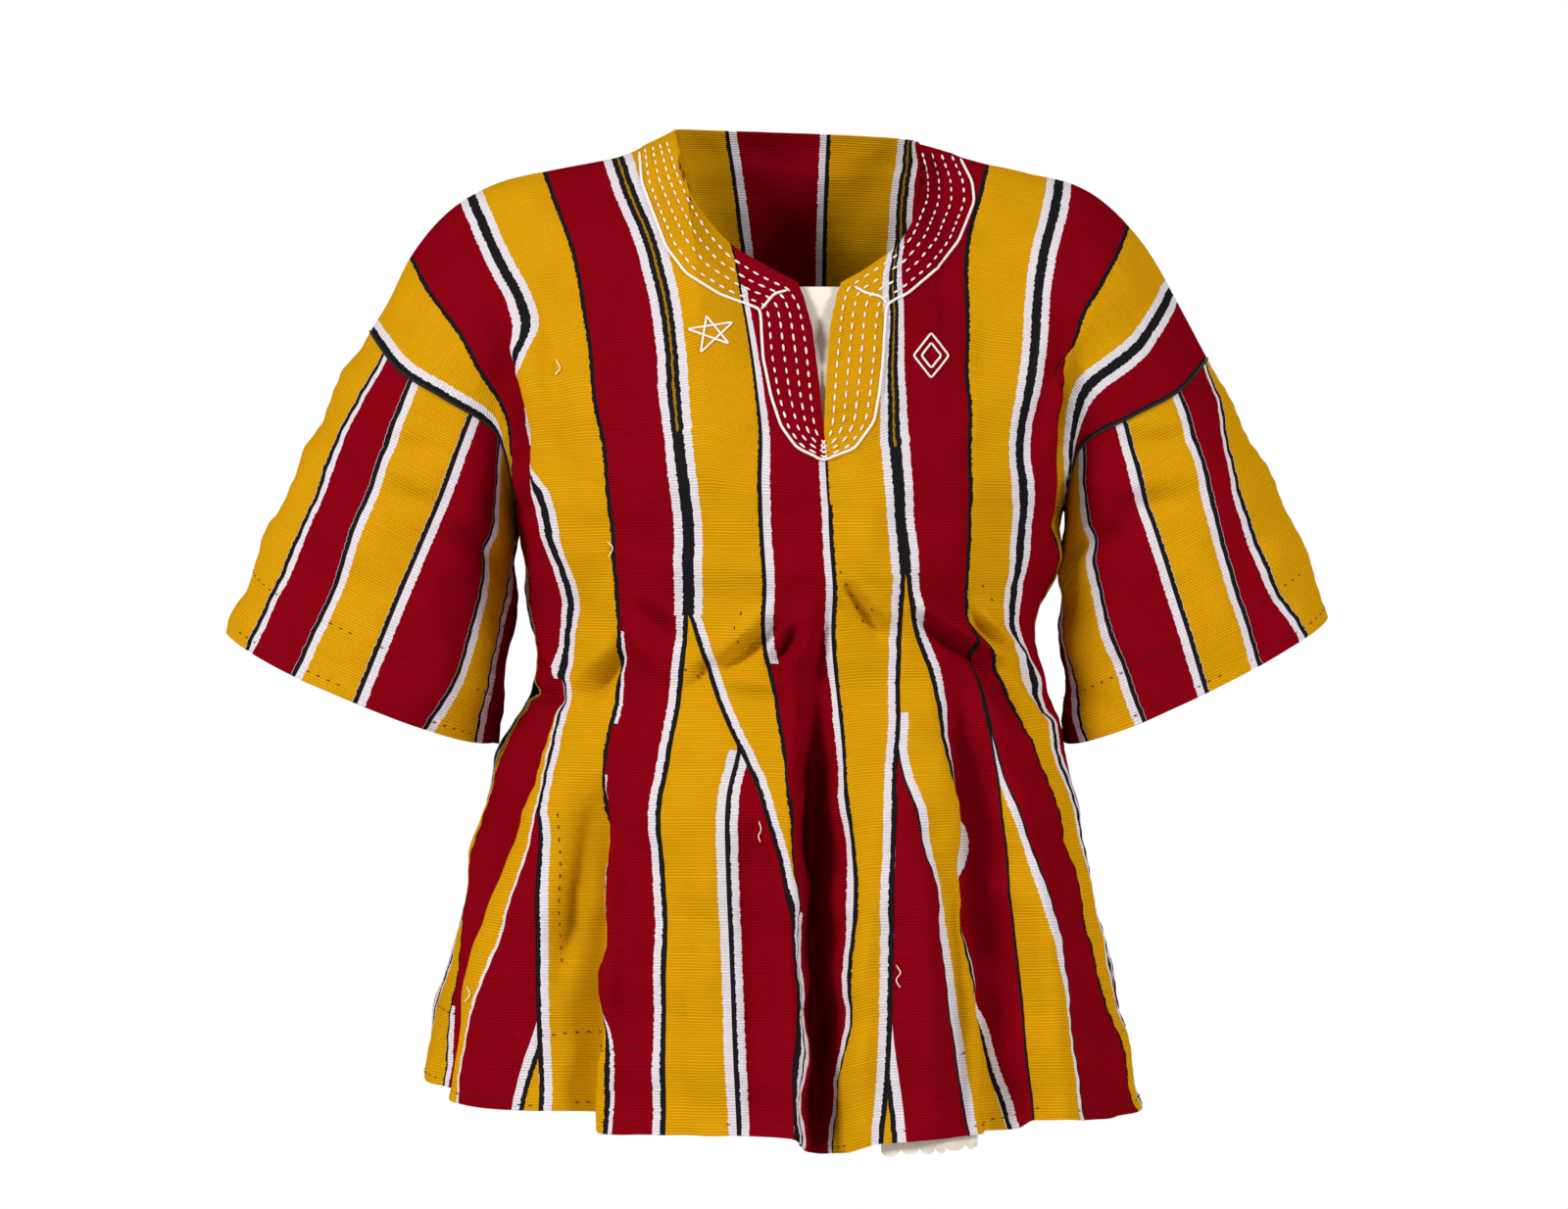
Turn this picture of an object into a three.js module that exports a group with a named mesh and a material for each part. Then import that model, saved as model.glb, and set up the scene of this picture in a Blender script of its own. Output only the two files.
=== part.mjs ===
// A strip-woven smock top, standing open as it is worn: a front and a back panel, two wide
// drop-shoulder sleeves, eight triangular inserts (gores) that flare the skirt, and the two bits of
// lining that show. Millimetres, +Z up, +X to the right of someone facing the front (the front is
// -Y). The origin is the middle of the neck at shoulder height, where the wearer carries it.
//
// The front and the back are each one smooth form. A place on it is given by its turn (degrees
// round the body from the middle of that side, -90 at the left side seam and 90 at the right) and
// its height. Above the armpits the lines of constant turn run up to the shoulder ridge or to the
// edge of the neck.
import * as THREE from "three";

// ---- driving sizes --------------------------------------------------------------------------
const WALL = 1.6; // cloth and its turned edges
const SEAM_GAP = 0.3; // between two pieces that are sewn together
const LINING_WALL = 1.0;
const LINING_GAP = 0.4; // behind the inside of the panel that carries it
const BAND_RAISE = 0.9; // the quilted neck band and placket stand this far proud
const BAND_WIDTH = 18;
const PLACKET = { half: 39, straight: -172, foot: -203 }; // a tongue round the slit, with a round end
const ARMPIT_HEIGHT = -232;
const SECTION_POWER = 2.5; // superellipse, a little squarer than an ellipse

// Body sections: half-widths to each side seam, and depths to the front and to the back.
const BODY = [
  { height: -232, left: 182, right: 179, front: 122, back: 112 },
  { height: -275, left: 175, right: 171, front: 119, back: 104 },
  { height: -315, left: 170, right: 160, front: 114, back: 97 },
  { height: -350, left: 169, right: 167, front: 114, back: 98 },
  { height: -390, left: 190, right: 178, front: 122, back: 106 },
  { height: -440, left: 206, right: 190, front: 130, back: 116 },
  { height: -500, left: 219, right: 202, front: 137, back: 126 },
  { height: -560, left: 233, right: 216, front: 143, back: 134 },
  { height: -650, left: 250, right: 236, front: 151, back: 145 },
];

// The shoulder ridge, from the tip of one drop shoulder to the neck, and from the neck to the other.
const RIDGE = [
  { turn: -90, across: -277, height: -114 },
  { turn: -84, across: -264, height: -93 },
  { turn: -77, across: -250, height: -64 },
  { turn: -70, across: -228, height: -38 },
  { turn: -64, across: -208, height: -24 },
  { turn: -55, across: -182, height: -14 },
  { turn: -45, across: -148, height: -7 },
  { turn: -36, across: -114, height: 0 },
  { turn: -29, across: -92, height: 9 },
  { turn: -24, across: -76, height: 17 },
];
const RIDGE_RIGHT = [
  { turn: 41.5, across: 83, height: 8 },
  { turn: 46, across: 100, height: 3 },
  { turn: 51, across: 124, height: -4 },
  { turn: 58, across: 155, height: -11 },
  { turn: 65, across: 187, height: -19 },
  { turn: 72, across: 214, height: -37 },
  { turn: 79, across: 240, height: -70 },
  { turn: 85, across: 258, height: -104 },
  { turn: 90, across: 273, height: -132 },
];

// The front edge of the neck, down to the top corners of the slit.
const NECK_LEFT = [
  { turn: -24, across: -76, height: 17 },
  { turn: -18, across: -73, height: -8 },
  { turn: -11, across: -63, height: -33 },
  { turn: -4, across: -43, height: -60 },
  { turn: 3, across: -20, height: -76 },
  { turn: 10, across: 4, height: -89 },
];
const NECK_RIGHT = [
  { turn: 10, across: 31, height: -89 },
  { turn: 16, across: 50, height: -78 },
  { turn: 22, across: 68, height: -64 },
  { turn: 28, across: 79, height: -45 },
  { turn: 34, across: 85, height: -24 },
  { turn: 38, across: 86, height: -6 },
  { turn: 41.5, across: 83, height: 8 },
];
const NECK_CARRY_HEIGHT = 16; // the height from which the neck columns fall, front
const BACK_NECK_SET = 46; // how far above its edge that line lies at the back, which sets the edge back
const BACK_NECK_LIFT = 7; // the collar edge stands up a little at the back

// The slit below the neck: its half-width at each height, about its middle.
const SLIT = [
  { height: -89, half: 13.5 },
  { height: -97, half: 11 },
  { height: -120, half: 5.5 },
  { height: -150, half: 2.5 },
  { height: -183, half: 0 },
];

// How the armhole seam runs inwards as it drops from the shoulder tip to the armpit, as shares.
const ARMHOLE = [
  { drop: 0, run: 0 },
  { drop: 0.25, run: 0.26 },
  { drop: 0.4, run: 0.56 },
  { drop: 0.56, run: 0.88 },
  { drop: 0.75, run: 0.97 },
  { drop: 1, run: 1 },
];
const ARMHOLE_DEPTH = 60; // how far the drop shoulder stands forward over the arm
const ARM_TURNS = { rise: 50, run: 64 }; // where that depth and the armhole's run begin to show
const ARM_SPREAD = 1.3;
const ARM_SWELL = { lean: 0.9, round: 0.85 }; // where down the armhole that depth peaks, and how full it is
const SHOULDER_FALL = 1.9; // how fast the panel columns close in below the ridge
const SHOULDER_ROUND = 0.7; // below 1 rounds the top of the shoulder

const HEM_FRONT = [
  { turn: -90, height: -603 },
  { turn: -68, height: -612 },
  { turn: -40, height: -621 },
  { turn: -24, height: -626 },
  { turn: 1, height: -629 },
  { turn: 8, height: -640 },
  { turn: 19, height: -632 },
  { turn: 51, height: -627 },
  { turn: 90, height: -622 },
];
const HEM_BACK = [
  { turn: -90, height: -603 },
  { turn: -45, height: -620 },
  { turn: 0, height: -632 },
  { turn: 45, height: -629 },
  { turn: 90, height: -622 },
];

// Gores, each named for its face and number: where the tip is, and the turns of the two edges at
// each of GORE_HEIGHTS.
const GORE_HEIGHTS = [-350, -400, -450, -530, -630];
const FRONT_GORES = [
  { number: 1, tip: [-64, -342], left: [-65, -68, -71, -75, -79], right: [-63, -61, -58, -54, -49] },
  { number: 2, tip: [-31, -304], left: [-35, -35, -35, -31, -30], right: [-22, -11, -3, 2, 1] },
  { number: 3, tip: [32, -280], left: [30, 27, 25, 23, 20], right: [42, 42, 42, 42, 46] },
  { number: 4, tip: [51, -309], left: [53, 54, 52, 52, 51], right: [60, 67, 74, 78, 79] },
];
const BACK_GORES = [
  { number: 1, tip: [-64, -338], left: [-65, -68, -71, -73, -75], right: [-63, -60, -57, -53, -50] },
  { number: 2, tip: [-31, -316], left: [-32, -33, -35, -36, -37], right: [-29, -26, -22, -17, -13] },
  { number: 3, tip: [32, -310], left: [31, 27, 22, 16, 12], right: [33, 35, 38, 40, 41] },
  { number: 4, tip: [51, -334], left: [51, 51, 52, 52, 52], right: [53, 58, 64, 69, 73] },
];
const GORE_TIP_START = 0.2; // share of the first row that the blunt tip leaves out
const MIDDLE = { tip: 10, turns: [12, 12, 11, 8, 7] }; // the line below the slit

// Folds: a ridge (+) or trough (-) of that height from one place to another, with its own flank
// on each side in degrees, growing over run_in below its top and fading over run_out above its end.
const FRONT_FOLDS = [
  { from: [-60, -385], to: [-66, -660], height: 12, left: 3.5, right: 10, run_in: 100, run_out: 0 },
  { from: [-67, -370], to: [-76, -660], height: -14, left: 5, right: 4, run_in: 90, run_out: 0 },
  { from: [-51, -350], to: [-46, -660], height: -9, left: 4, right: 6, run_in: 100, run_out: 0 },
  { from: [-19, -330], to: [-15, -660], height: 8, left: 13, right: 10, run_in: 140, run_out: 0 },
  { from: [-3, -330], to: [0, -660], height: 8, left: 7, right: 3, run_in: 90, run_out: 0 },
  { from: [7, -325], to: [8, -660], height: -27, left: 4, right: 5, run_in: 130, run_out: 0 },
  { from: [26, -360], to: [29, -660], height: 9, left: 8, right: 9, run_in: 120, run_out: 0 },
  { from: [50, -300], to: [47, -660], height: -17, left: 5, right: 3.5, run_in: 120, run_out: 0 },
  { from: [57, -350], to: [57, -660], height: 9, left: 4, right: 8, run_in: 120, run_out: 0 },
  { from: [74, -400], to: [73, -660], height: -7, left: 5, right: 5, run_in: 90, run_out: 0 },
  { from: [-64, -80], to: [-63, -290], height: 9, left: 5, right: 12, run_in: 70, run_out: 80 },
  { from: [-72, -80], to: [-71, -290], height: -12, left: 6, right: 4, run_in: 70, run_out: 80 },
  { from: [69, -100], to: [68, -290], height: 8, left: 10, right: 4, run_in: 70, run_out: 80 },
  { from: [76, -100], to: [75, -290], height: -11, left: 4, right: 5, run_in: 70, run_out: 80 },
];
const BACK_FOLDS = [
  { from: [-66, -370], to: [-68, -660], height: -10, left: 5, right: 5, run_in: 110, run_out: 0 },
  { from: [-57, -360], to: [-57, -660], height: 9, left: 5, right: 8, run_in: 110, run_out: 0 },
  { from: [-41, -330], to: [-43, -660], height: -13, left: 6, right: 4, run_in: 130, run_out: 0 },
  { from: [-25, -330], to: [-26, -660], height: 10, left: 6, right: 9, run_in: 130, run_out: 0 },
  { from: [-3, -300], to: [-6, -660], height: -17, left: 5, right: 6, run_in: 150, run_out: 0 },
  { from: [11, -330], to: [9, -660], height: 8, left: 6, right: 6, run_in: 120, run_out: 0 },
  { from: [27, -340], to: [25, -660], height: 10, left: 8, right: 8, run_in: 120, run_out: 0 },
  { from: [46, -320], to: [46, -660], height: -14, left: 4, right: 5, run_in: 130, run_out: 0 },
  { from: [59, -360], to: [61, -660], height: 9, left: 6, right: 7, run_in: 110, run_out: 0 },
  { from: [-68, -90], to: [-66, -300], height: -10, left: 6, right: 6, run_in: 80, run_out: 90 },
  { from: [70, -100], to: [68, -300], height: -9, left: 6, right: 6, run_in: 80, run_out: 90 },
];

const SEAM_CALM = 12; // folds die out over these last degrees before a side seam
const RIDGE_CALM = 0.15; // and over this share of the yoke below the ridge

// Sleeves: the top and bottom corners of each cuff seen from the front.
const CUFF_DEPTH = 62; // half the depth of a cuff, front to back
const CUFF_BOW = 9; // how far the cuff's faces hang past its corners
const CUFF_POWER = 2.2;
const SLEEVE_BOW = 5; // the top line bows out by this much, and the underarm line in
const SLEEVES = [
  { name: "sleeve_left", side: -1, top: [-370, -312], bottom: [-196, -385] },
  { name: "sleeve_right", side: 1, top: [351, -301], bottom: [180, -385] },
];

const ARMPIT_SPLIT = { start: 0.6, end: 0.9 }; // shares of the armhole over which the walls part

// Linings.
const SLIT_LINING_ROWS = 8;
const SKIRT_LINING_ROWS = 4;
const SKIRT_LINING_DROP = 5;
const SKIRT_LINING_SCALLOP = 4;

// Rows and columns of the form.
const YOKE_ROWS = [0, 0.07, 0.16, 0.27, 0.39, 0.52, 0.66, 0.8, 0.9, 1];
const SKIRT_ROWS = 16;
const SLEEVE_ROWS = 9;
const COLUMNS = { side: 4, gore: 5, waist: 4, neck: 6, chest: 5, between: 4 };

// ---- small helpers --------------------------------------------------------------------------
const lerp = (a, b, t) => a + (b - a) * t;
const clamp = (t) => Math.min(1, Math.max(0, t));
const radians = (degrees) => (degrees * Math.PI) / 180;
const mix = (p, q, t) => p.map((v, i) => lerp(v, q[i], t));
const add = (p, q, k = 1) => p.map((v, i) => v + q[i] * k);
const dot = (p, q) => p[0] * q[0] + p[1] * q[1] + p[2] * q[2];
const cross = (p, q) => [p[1] * q[2] - p[2] * q[1], p[2] * q[0] - p[0] * q[2], p[0] * q[1] - p[1] * q[0]];
const unit = (p) => p.map((v) => v / (Math.hypot(...p) || 1));
const last = (list) => list[list.length - 1];

// A smooth curve through a table's rows, read at x.
function curve(table, xKey, yKey) {
  const rows = [...table].sort((a, b) => a[xKey] - b[xKey]);
  const xs = rows.map((row) => row[xKey]);
  const ys = rows.map((row) => row[yKey]);
  const slope = (i) => {
    const low = Math.max(i - 1, 0);
    const high = Math.min(i + 1, xs.length - 1);
    return (ys[high] - ys[low]) / (xs[high] - xs[low]);
  };
  return (x) => {
    const at = Math.min(Math.max(x, xs[0]), last(xs));
    let i = 0;
    while (i < xs.length - 2 && at > xs[i + 1]) i += 1;
    const h = xs[i + 1] - xs[i];
    const t = (at - xs[i]) / h;
    const start = (1 + 2 * t) * (1 - t) ** 2 * ys[i] + t * (1 - t) ** 2 * h * slope(i);
    const end = t * t * (3 - 2 * t) * ys[i + 1] + t * t * (t - 1) * h * slope(i + 1);
    return start + end;
  };
}

// A line of straight stretches through a table's rows.
function steps(table, xKey, yKey) {
  const rows = [...table].sort((a, b) => a[xKey] - b[xKey]);
  return (x) => {
    const at = Math.min(Math.max(x, rows[0][xKey]), last(rows)[xKey]);
    let i = 0;
    while (i < rows.length - 2 && at > rows[i + 1][xKey]) i += 1;
    const share = (at - rows[i][xKey]) / (rows[i + 1][xKey] - rows[i][xKey]);
    return lerp(rows[i][yKey], rows[i + 1][yKey], share);
  };
}

// ---- the form -------------------------------------------------------------------------------
const halfWidth = { left: curve(BODY, "height", "left"), right: curve(BODY, "height", "right") };
const depth = { front: curve(BODY, "height", "front"), back: curve(BODY, "height", "back") };
const ridgeAcross = [curve(RIDGE, "turn", "across"), curve(RIDGE_RIGHT, "turn", "across")];
const ridgeHeight = [curve(RIDGE, "turn", "height"), curve(RIDGE_RIGHT, "turn", "height")];
const neckAcross = [curve(NECK_LEFT, "turn", "across"), curve(NECK_RIGHT, "turn", "across")];
const neckHeight = [curve(NECK_LEFT, "turn", "height"), curve(NECK_RIGHT, "turn", "height")];
const armholeRun = curve(ARMHOLE, "drop", "run");
const slitHalf = steps(SLIT, "height", "half");
const hem = { front: curve(HEM_FRONT, "turn", "height"), back: curve(HEM_BACK, "turn", "height") };
const NECK_TURNS = [last(RIDGE).turn, RIDGE_RIGHT[0].turn];
const outwards = { front: -1, back: 1 };
const folds = { front: FRONT_FOLDS, back: BACK_FOLDS };

function bodySection(face, turn, height) {
  const a = radians(turn);
  const width = (turn < 0 ? halfWidth.left : halfWidth.right)(height);
  const reach = Math.abs(Math.sin(a) / width) ** SECTION_POWER;
  const rise = Math.abs(Math.cos(a) / depth[face](height)) ** SECTION_POWER;
  const radius = (reach + rise) ** (-1 / SECTION_POWER);
  return [radius * Math.sin(a), radius * Math.cos(a)];
}

// The top of a line of constant turn: on the ridge, or on the edge of the neck. side tells the two
// edges of the slit apart.
function topOf(face, turn, side) {
  if (turn <= NECK_TURNS[0] || turn >= NECK_TURNS[1]) {
    const half = turn < 0 ? 0 : 1;
    const height = ridgeHeight[half](turn);
    return { across: ridgeAcross[half](turn), height, carry: height };
  }
  if (face === "front") {
    const half = turn < MIDDLE.tip || (turn === MIDDLE.tip && side < 0) ? 0 : 1;
    return { across: neckAcross[half](turn), height: neckHeight[half](turn), carry: NECK_CARRY_HEIGHT };
  }
  const share = (turn - NECK_TURNS[0]) / (NECK_TURNS[1] - NECK_TURNS[0]);
  const arch = Math.sin(Math.PI * share);
  const height = lerp(last(RIDGE).height, RIDGE_RIGHT[0].height, share) + BACK_NECK_LIFT * Math.sqrt(arch);
  return {
    across: lerp(last(RIDGE).across, RIDGE_RIGHT[0].across, (1 - Math.cos(Math.PI * share)) / 2),
    height,
    carry: height + BACK_NECK_SET * arch,
  };
}

function foldHeight(face, turn, height) {
  let sum = 0;
  for (const fold of folds[face]) {
    const [topTurn, topHeight] = fold.from;
    const [endTurn, endHeight] = fold.to;
    const down = topHeight - height;
    const left = height - endHeight;
    if (down <= 0 || left <= 0) continue;
    const middle = lerp(topTurn, endTurn, down / (topHeight - endHeight));
    const flank = turn < middle ? fold.left : fold.right;
    const grow = Math.sin((Math.PI / 2) * clamp(down / fold.run_in)) ** 2;
    const fade = fold.run_out ? Math.sin((Math.PI / 2) * clamp(left / fold.run_out)) ** 2 : 1;
    sum += fold.height * grow * fade * Math.exp(-(((turn - middle) / flank) ** 2));
  }
  return sum;
}

// Folds die out at the side seams and at the ridge, where hold is 0.
function folded(face, turn, x, y, z, hold) {
  const push = foldHeight(face, turn, z) * clamp((90 - Math.abs(turn)) / SEAM_CALM) * hold;
  const a = radians(turn);
  return [x + push * Math.sin(a), outwards[face] * (y + push * Math.cos(a)), z];
}

// A point of the yoke: share 0 on the ridge or neck edge, 1 at armpit height.
function yokePoint(face, turn, share, side = 0) {
  const top = topOf(face, turn, side);
  const [acrossLow, depthLow] = bodySection(face, turn, ARMPIT_HEIGHT);
  const height = lerp(top.height, ARMPIT_HEIGHT, share);
  const arm = clamp((Math.abs(turn) - ARM_TURNS.run) / (90 - ARM_TURNS.run));
  const run = lerp(1 - (1 - share) ** SHOULDER_FALL, armholeRun(share), arm);
  const fall = clamp((top.carry - height) / (top.carry - ARMPIT_HEIGHT));
  const spread = clamp((Math.abs(turn) - ARM_TURNS.rise) / (90 - ARM_TURNS.rise)) ** ARM_SPREAD;
  const overArm = spread * Math.sin(Math.PI * share ** ARM_SWELL.lean) ** ARM_SWELL.round;
  const out = depthLow * Math.sin((Math.PI / 2) * fall) ** SHOULDER_ROUND + ARMHOLE_DEPTH * overArm;
  let across = lerp(top.across, acrossLow, run);
  if (face === "front" && side) across = slitEdge(height, side);
  return folded(face, turn, across, out, height, clamp(share / RIDGE_CALM));
}

// The edges of the slit, about the line from the middle of the neck's front to the closed end.
function slitEdge(height, side) {
  const top = (last(NECK_LEFT).across + NECK_RIGHT[0].across) / 2;
  const share = (SLIT[0].height - height) / (SLIT[0].height - ARMPIT_HEIGHT);
  const middle = lerp(top, bodySection("front", MIDDLE.tip, ARMPIT_HEIGHT)[0], clamp(share));
  return middle + side * slitHalf(height);
}

function skirtPoint(face, turn, share) {
  const height = lerp(ARMPIT_HEIGHT, hem[face](turn), share);
  const [x, y] = bodySection(face, turn, height);
  return folded(face, turn, x, y, height, 1);
}

// ---- grids ----------------------------------------------------------------------------------
// The key lines of one face, from side seam to side seam. Each gives its turn at a height.
function keyLines(face) {
  const gores = face === "front" ? FRONT_GORES : BACK_GORES;
  const edge = (gore, which) => {
    const rows = [{ height: gore.tip[1], turn: gore.tip[0] }];
    GORE_HEIGHTS.forEach((height, i) => {
      if (height < gore.tip[1]) rows.push({ height, turn: gore[which][i] });
    });
    const read = steps(rows, "height", "turn");
    return (height) => (height >= gore.tip[1] ? gore.tip[0] : read(height));
  };
  const middleRows = GORE_HEIGHTS.map((height, i) => ({ height, turn: MIDDLE.turns[i] }));
  const middle = steps([{ height: ARMPIT_HEIGHT, turn: MIDDLE.tip }, ...middleRows], "height", "turn");
  const [first, second, third, fourth] = gores;
  return [
    { turn: () => -90, next: COLUMNS.side },
    { turn: edge(first, "left"), next: COLUMNS.gore, gore: first },
    { turn: edge(first, "right"), next: COLUMNS.waist },
    { turn: edge(second, "left"), next: COLUMNS.gore, gore: second },
    { turn: edge(second, "right"), next: COLUMNS.neck },
    { turn: middle, next: 0, side: -1 },
    { turn: middle, next: COLUMNS.chest, side: 1 },
    { turn: edge(third, "left"), next: COLUMNS.gore, gore: third },
    { turn: edge(third, "right"), next: COLUMNS.between },
    { turn: edge(fourth, "left"), next: COLUMNS.gore, gore: fourth },
    { turn: edge(fourth, "right"), next: COLUMNS.side },
    { turn: () => 90, next: 0 },
  ];
}

// Every row is a list of stretches, one after each key line. A stretch is a list of points.
function faceGrid(face) {
  const lines = keyLines(face);
  const rows = [];
  const addRow = (height, place) => {
    const row = lines.slice(0, -1).map((line, i) => {
      const from = line.turn(height);
      const to = lines[i + 1].turn(height);
      const count = Math.max(line.next, 1);
      return Array.from({ length: count + 1 }, (_, c) => {
        const side = c === 0 ? line.side : c === count ? lines[i + 1].side : 0;
        return place(lerp(from, to, c / count), side ?? 0);
      });
    });
    rows.push(row);
  };
  for (const share of YOKE_ROWS) addRow(ARMPIT_HEIGHT, (turn, side) => yokePoint(face, turn, share, side));
  const drop = last(HEM_BACK).height - ARMPIT_HEIGHT;
  for (let r = 1; r <= SKIRT_ROWS; r += 1) {
    const share = r / SKIRT_ROWS;
    addRow(ARMPIT_HEIGHT + drop * share, (turn) => skirtPoint(face, turn, share));
  }
  return { face, lines, rows };
}

// Corners of a grid stretch's cells, as seen from outside: [upper left, upper right, lower right,
// lower left].
function cellsOf(points, flip) {
  const cells = [];
  for (let r = 0; r + 1 < points.length; r += 1) {
    for (let c = 0; c + 1 < points[r].length; c += 1) {
      const cell = [points[r][c], points[r][c + 1], points[r + 1][c + 1], points[r + 1][c]];
      cells.push(flip ? cell.reverse() : cell);
    }
  }
  return cells;
}

const SAME_PLACE = 0.0005; // points nearer than this are one corner
const keyOf = (p) => p.map((v) => Math.round(v / SAME_PLACE)).join();

// Triangles of a list of cells, with the flat ones left out.
function trianglesOf(cells) {
  const triangles = [];
  for (const [a, b, c, d] of cells) {
    for (const triangle of [[a, d, c], [a, c, b]]) {
      if (new Set(triangle.map(keyOf)).size === 3) triangles.push(triangle);
    }
  }
  return triangles;
}

// Sums each corner's face normals over all the pieces given, so that neighbours share them.
function gatherNormals(pieces) {
  const sums = new Map();
  for (const triangles of pieces) {
    for (const [a, b, c] of triangles) {
      const normal = cross(add(b, a, -1), add(c, a, -1));
      for (const p of [a, b, c]) sums.set(keyOf(p), add(sums.get(keyOf(p)) ?? [0, 0, 0], normal));
    }
  }
  return new Map([...sums].map(([key, sum]) => [key, unit(sum)]));
}

// ---- walls ----------------------------------------------------------------------------------
const RIM_ORDER = [0.41, 0.37, 0.83]; // picks the same diagonal for the rims on both sides of a seam
const LEAST_REACH = 0.5; // keeps a sharp corner from being drawn back too far

// A closed wall: the outer skin, the inner skin behind it, and a rim round every edge. Each edge is
// drawn back by half the seam gap. lift moves single outer points out, and from and wall place the
// outer skin and the thickness behind it.
function wallGeometry(triangles, normals, { lift = () => 0, from = 0, wall = WALL } = {}) {
  const index = new Map();
  const corners = [];
  const idOf = (p) => {
    const key = keyOf(p);
    if (!index.has(key)) {
      index.set(key, corners.length);
      corners.push(p);
    }
    return index.get(key);
  };
  const faces = triangles.map((triangle) => triangle.map(idOf));
  const open = new Map();
  for (const face of faces) {
    face.forEach((a, i) => {
      const b = face[(i + 1) % 3];
      if (!open.delete(`${b},${a}`)) open.set(`${a},${b}`, [a, b, face[(i + 2) % 3]]);
    });
  }
  const inward = corners.map(() => []);
  for (const [a, b, c] of open.values()) {
    const along = unit(add(corners[b], corners[a], -1));
    const across = add(corners[c], corners[a], -1);
    const direction = unit(add(across, along, -dot(across, along)));
    inward[a].push(direction);
    inward[b].push(direction);
  }
  const drawn = corners.map((p, i) => {
    if (!inward[i].length) return p;
    const direction = unit(inward[i].reduce((sum, d) => add(sum, d), [0, 0, 0]));
    const reach = Math.max(LEAST_REACH, Math.abs(dot(direction, inward[i][0])));
    return add(p, direction, SEAM_GAP / 2 / reach);
  });
  const facing = corners.map((p) => normals.get(keyOf(p)));
  const outer = drawn.map((p, i) => add(p, facing[i], lift(corners[i]) - from));
  const inner = drawn.map((p, i) => add(p, facing[i], -from - wall));
  const count = corners.length;
  const order = faces.flatMap(([a, b, c]) => [a, b, c, count + a, count + c, count + b]);
  for (const [a, b] of open.values()) {
    if (dot(corners[a], RIM_ORDER) > dot(corners[b], RIM_ORDER)) {
      order.push(b, a, count + a, b, count + a, count + b);
    } else {
      order.push(b, a, count + b, a, count + a, count + b);
    }
  }
  const geometry = new THREE.BufferGeometry();
  geometry.setAttribute("position", new THREE.Float32BufferAttribute([...outer, ...inner].flat(), 3));
  geometry.setIndex(order);
  geometry.computeVertexNormals();
  return geometry;
}

// ---- body pieces ----------------------------------------------------------------------------
const front = faceGrid("front");
const back = faceGrid("back");

const stretchOf = (grid, index) => grid.rows.map((row) => row[index]);

// A gore begins part of the way down the row in which it opens, with a blunt tip.
function goreOf(grid, index) {
  const points = stretchOf(grid, index);
  const opens = points.findIndex((row) => keyOf(row[0]) !== keyOf(last(row)));
  const tip = points[opens].map((p, c) => mix(points[opens - 1][c], p, GORE_TIP_START));
  const name = `${grid.face}_gore_${grid.lines[index].gore.number}`;
  return { name, above: points[opens - 1], tip, below: points.slice(opens) };
}

function facePieces(grid) {
  const flip = grid.face === "back";
  const panel = [];
  const gores = [];
  grid.lines.forEach((line, index) => {
    if (line.gore) {
      const gore = goreOf(grid, index);
      gores.push({ ...gore, triangles: trianglesOf(cellsOf([gore.tip, ...gore.below], flip)) });
    } else if (line.next) {
      panel.push(...cellsOf(stretchOf(grid, index), flip));
    }
  });
  return { panel: trianglesOf(panel), gores };
}

const frontPieces = facePieces(front);
const backPieces = facePieces(back);
const gores = [...frontPieces.gores, ...backPieces.gores];
const bodyNormals = gatherNormals([
  frontPieces.panel,
  backPieces.panel,
  ...gores.map((gore) => gore.triangles),
]);
for (const { above, tip, below } of gores) {
  tip.forEach((p, c) => {
    const upper = bodyNormals.get(keyOf(above[c]));
    bodyNormals.set(keyOf(p), unit(mix(upper, bodyNormals.get(keyOf(below[0][c])), GORE_TIP_START)));
  });
}

// ---- sleeves --------------------------------------------------------------------------------
const armpitRow = YOKE_ROWS.length - 1;

function yokeColumn(grid, side) {
  const rows = grid.rows.slice(0, armpitRow + 1);
  return rows.map((row) => (side < 0 ? row[0][0] : last(last(row))));
}

// The armhole as a closed ring: down the front from the shoulder tip to the armpit, and up the back.
function armholeRing(side) {
  const ring = yokeColumn(front, side).map((at, i) => ({ at, share: YOKE_ROWS[i], face: "front" }));
  const behind = yokeColumn(back, side).map((at, i) => ({ at, share: YOKE_ROWS[i], face: "back" }));
  return [...ring, ...behind.slice(1, -1).reverse()];
}

function cuffPoint({ top, bottom }, share, face) {
  const angle = Math.PI * share;
  const middle = [(top[0] + bottom[0]) / 2, (top[1] + bottom[1]) / 2];
  const half = [(top[0] - bottom[0]) / 2, (top[1] - bottom[1]) / 2];
  const along = Math.sign(Math.cos(angle)) * Math.abs(Math.cos(angle)) ** (2 / CUFF_POWER);
  const out = Math.sin(angle) ** (2 / CUFF_POWER);
  const length = Math.hypot(...half);
  const bow = CUFF_BOW * out;
  const fall = [(Math.abs(half[1]) / length) * Math.sign(top[0]) * bow, (-Math.abs(half[0]) / length) * bow];
  return [
    middle[0] + half[0] * along + fall[0],
    outwards[face] * CUFF_DEPTH * out,
    middle[1] + half[1] * along + fall[1],
  ];
}

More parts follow.
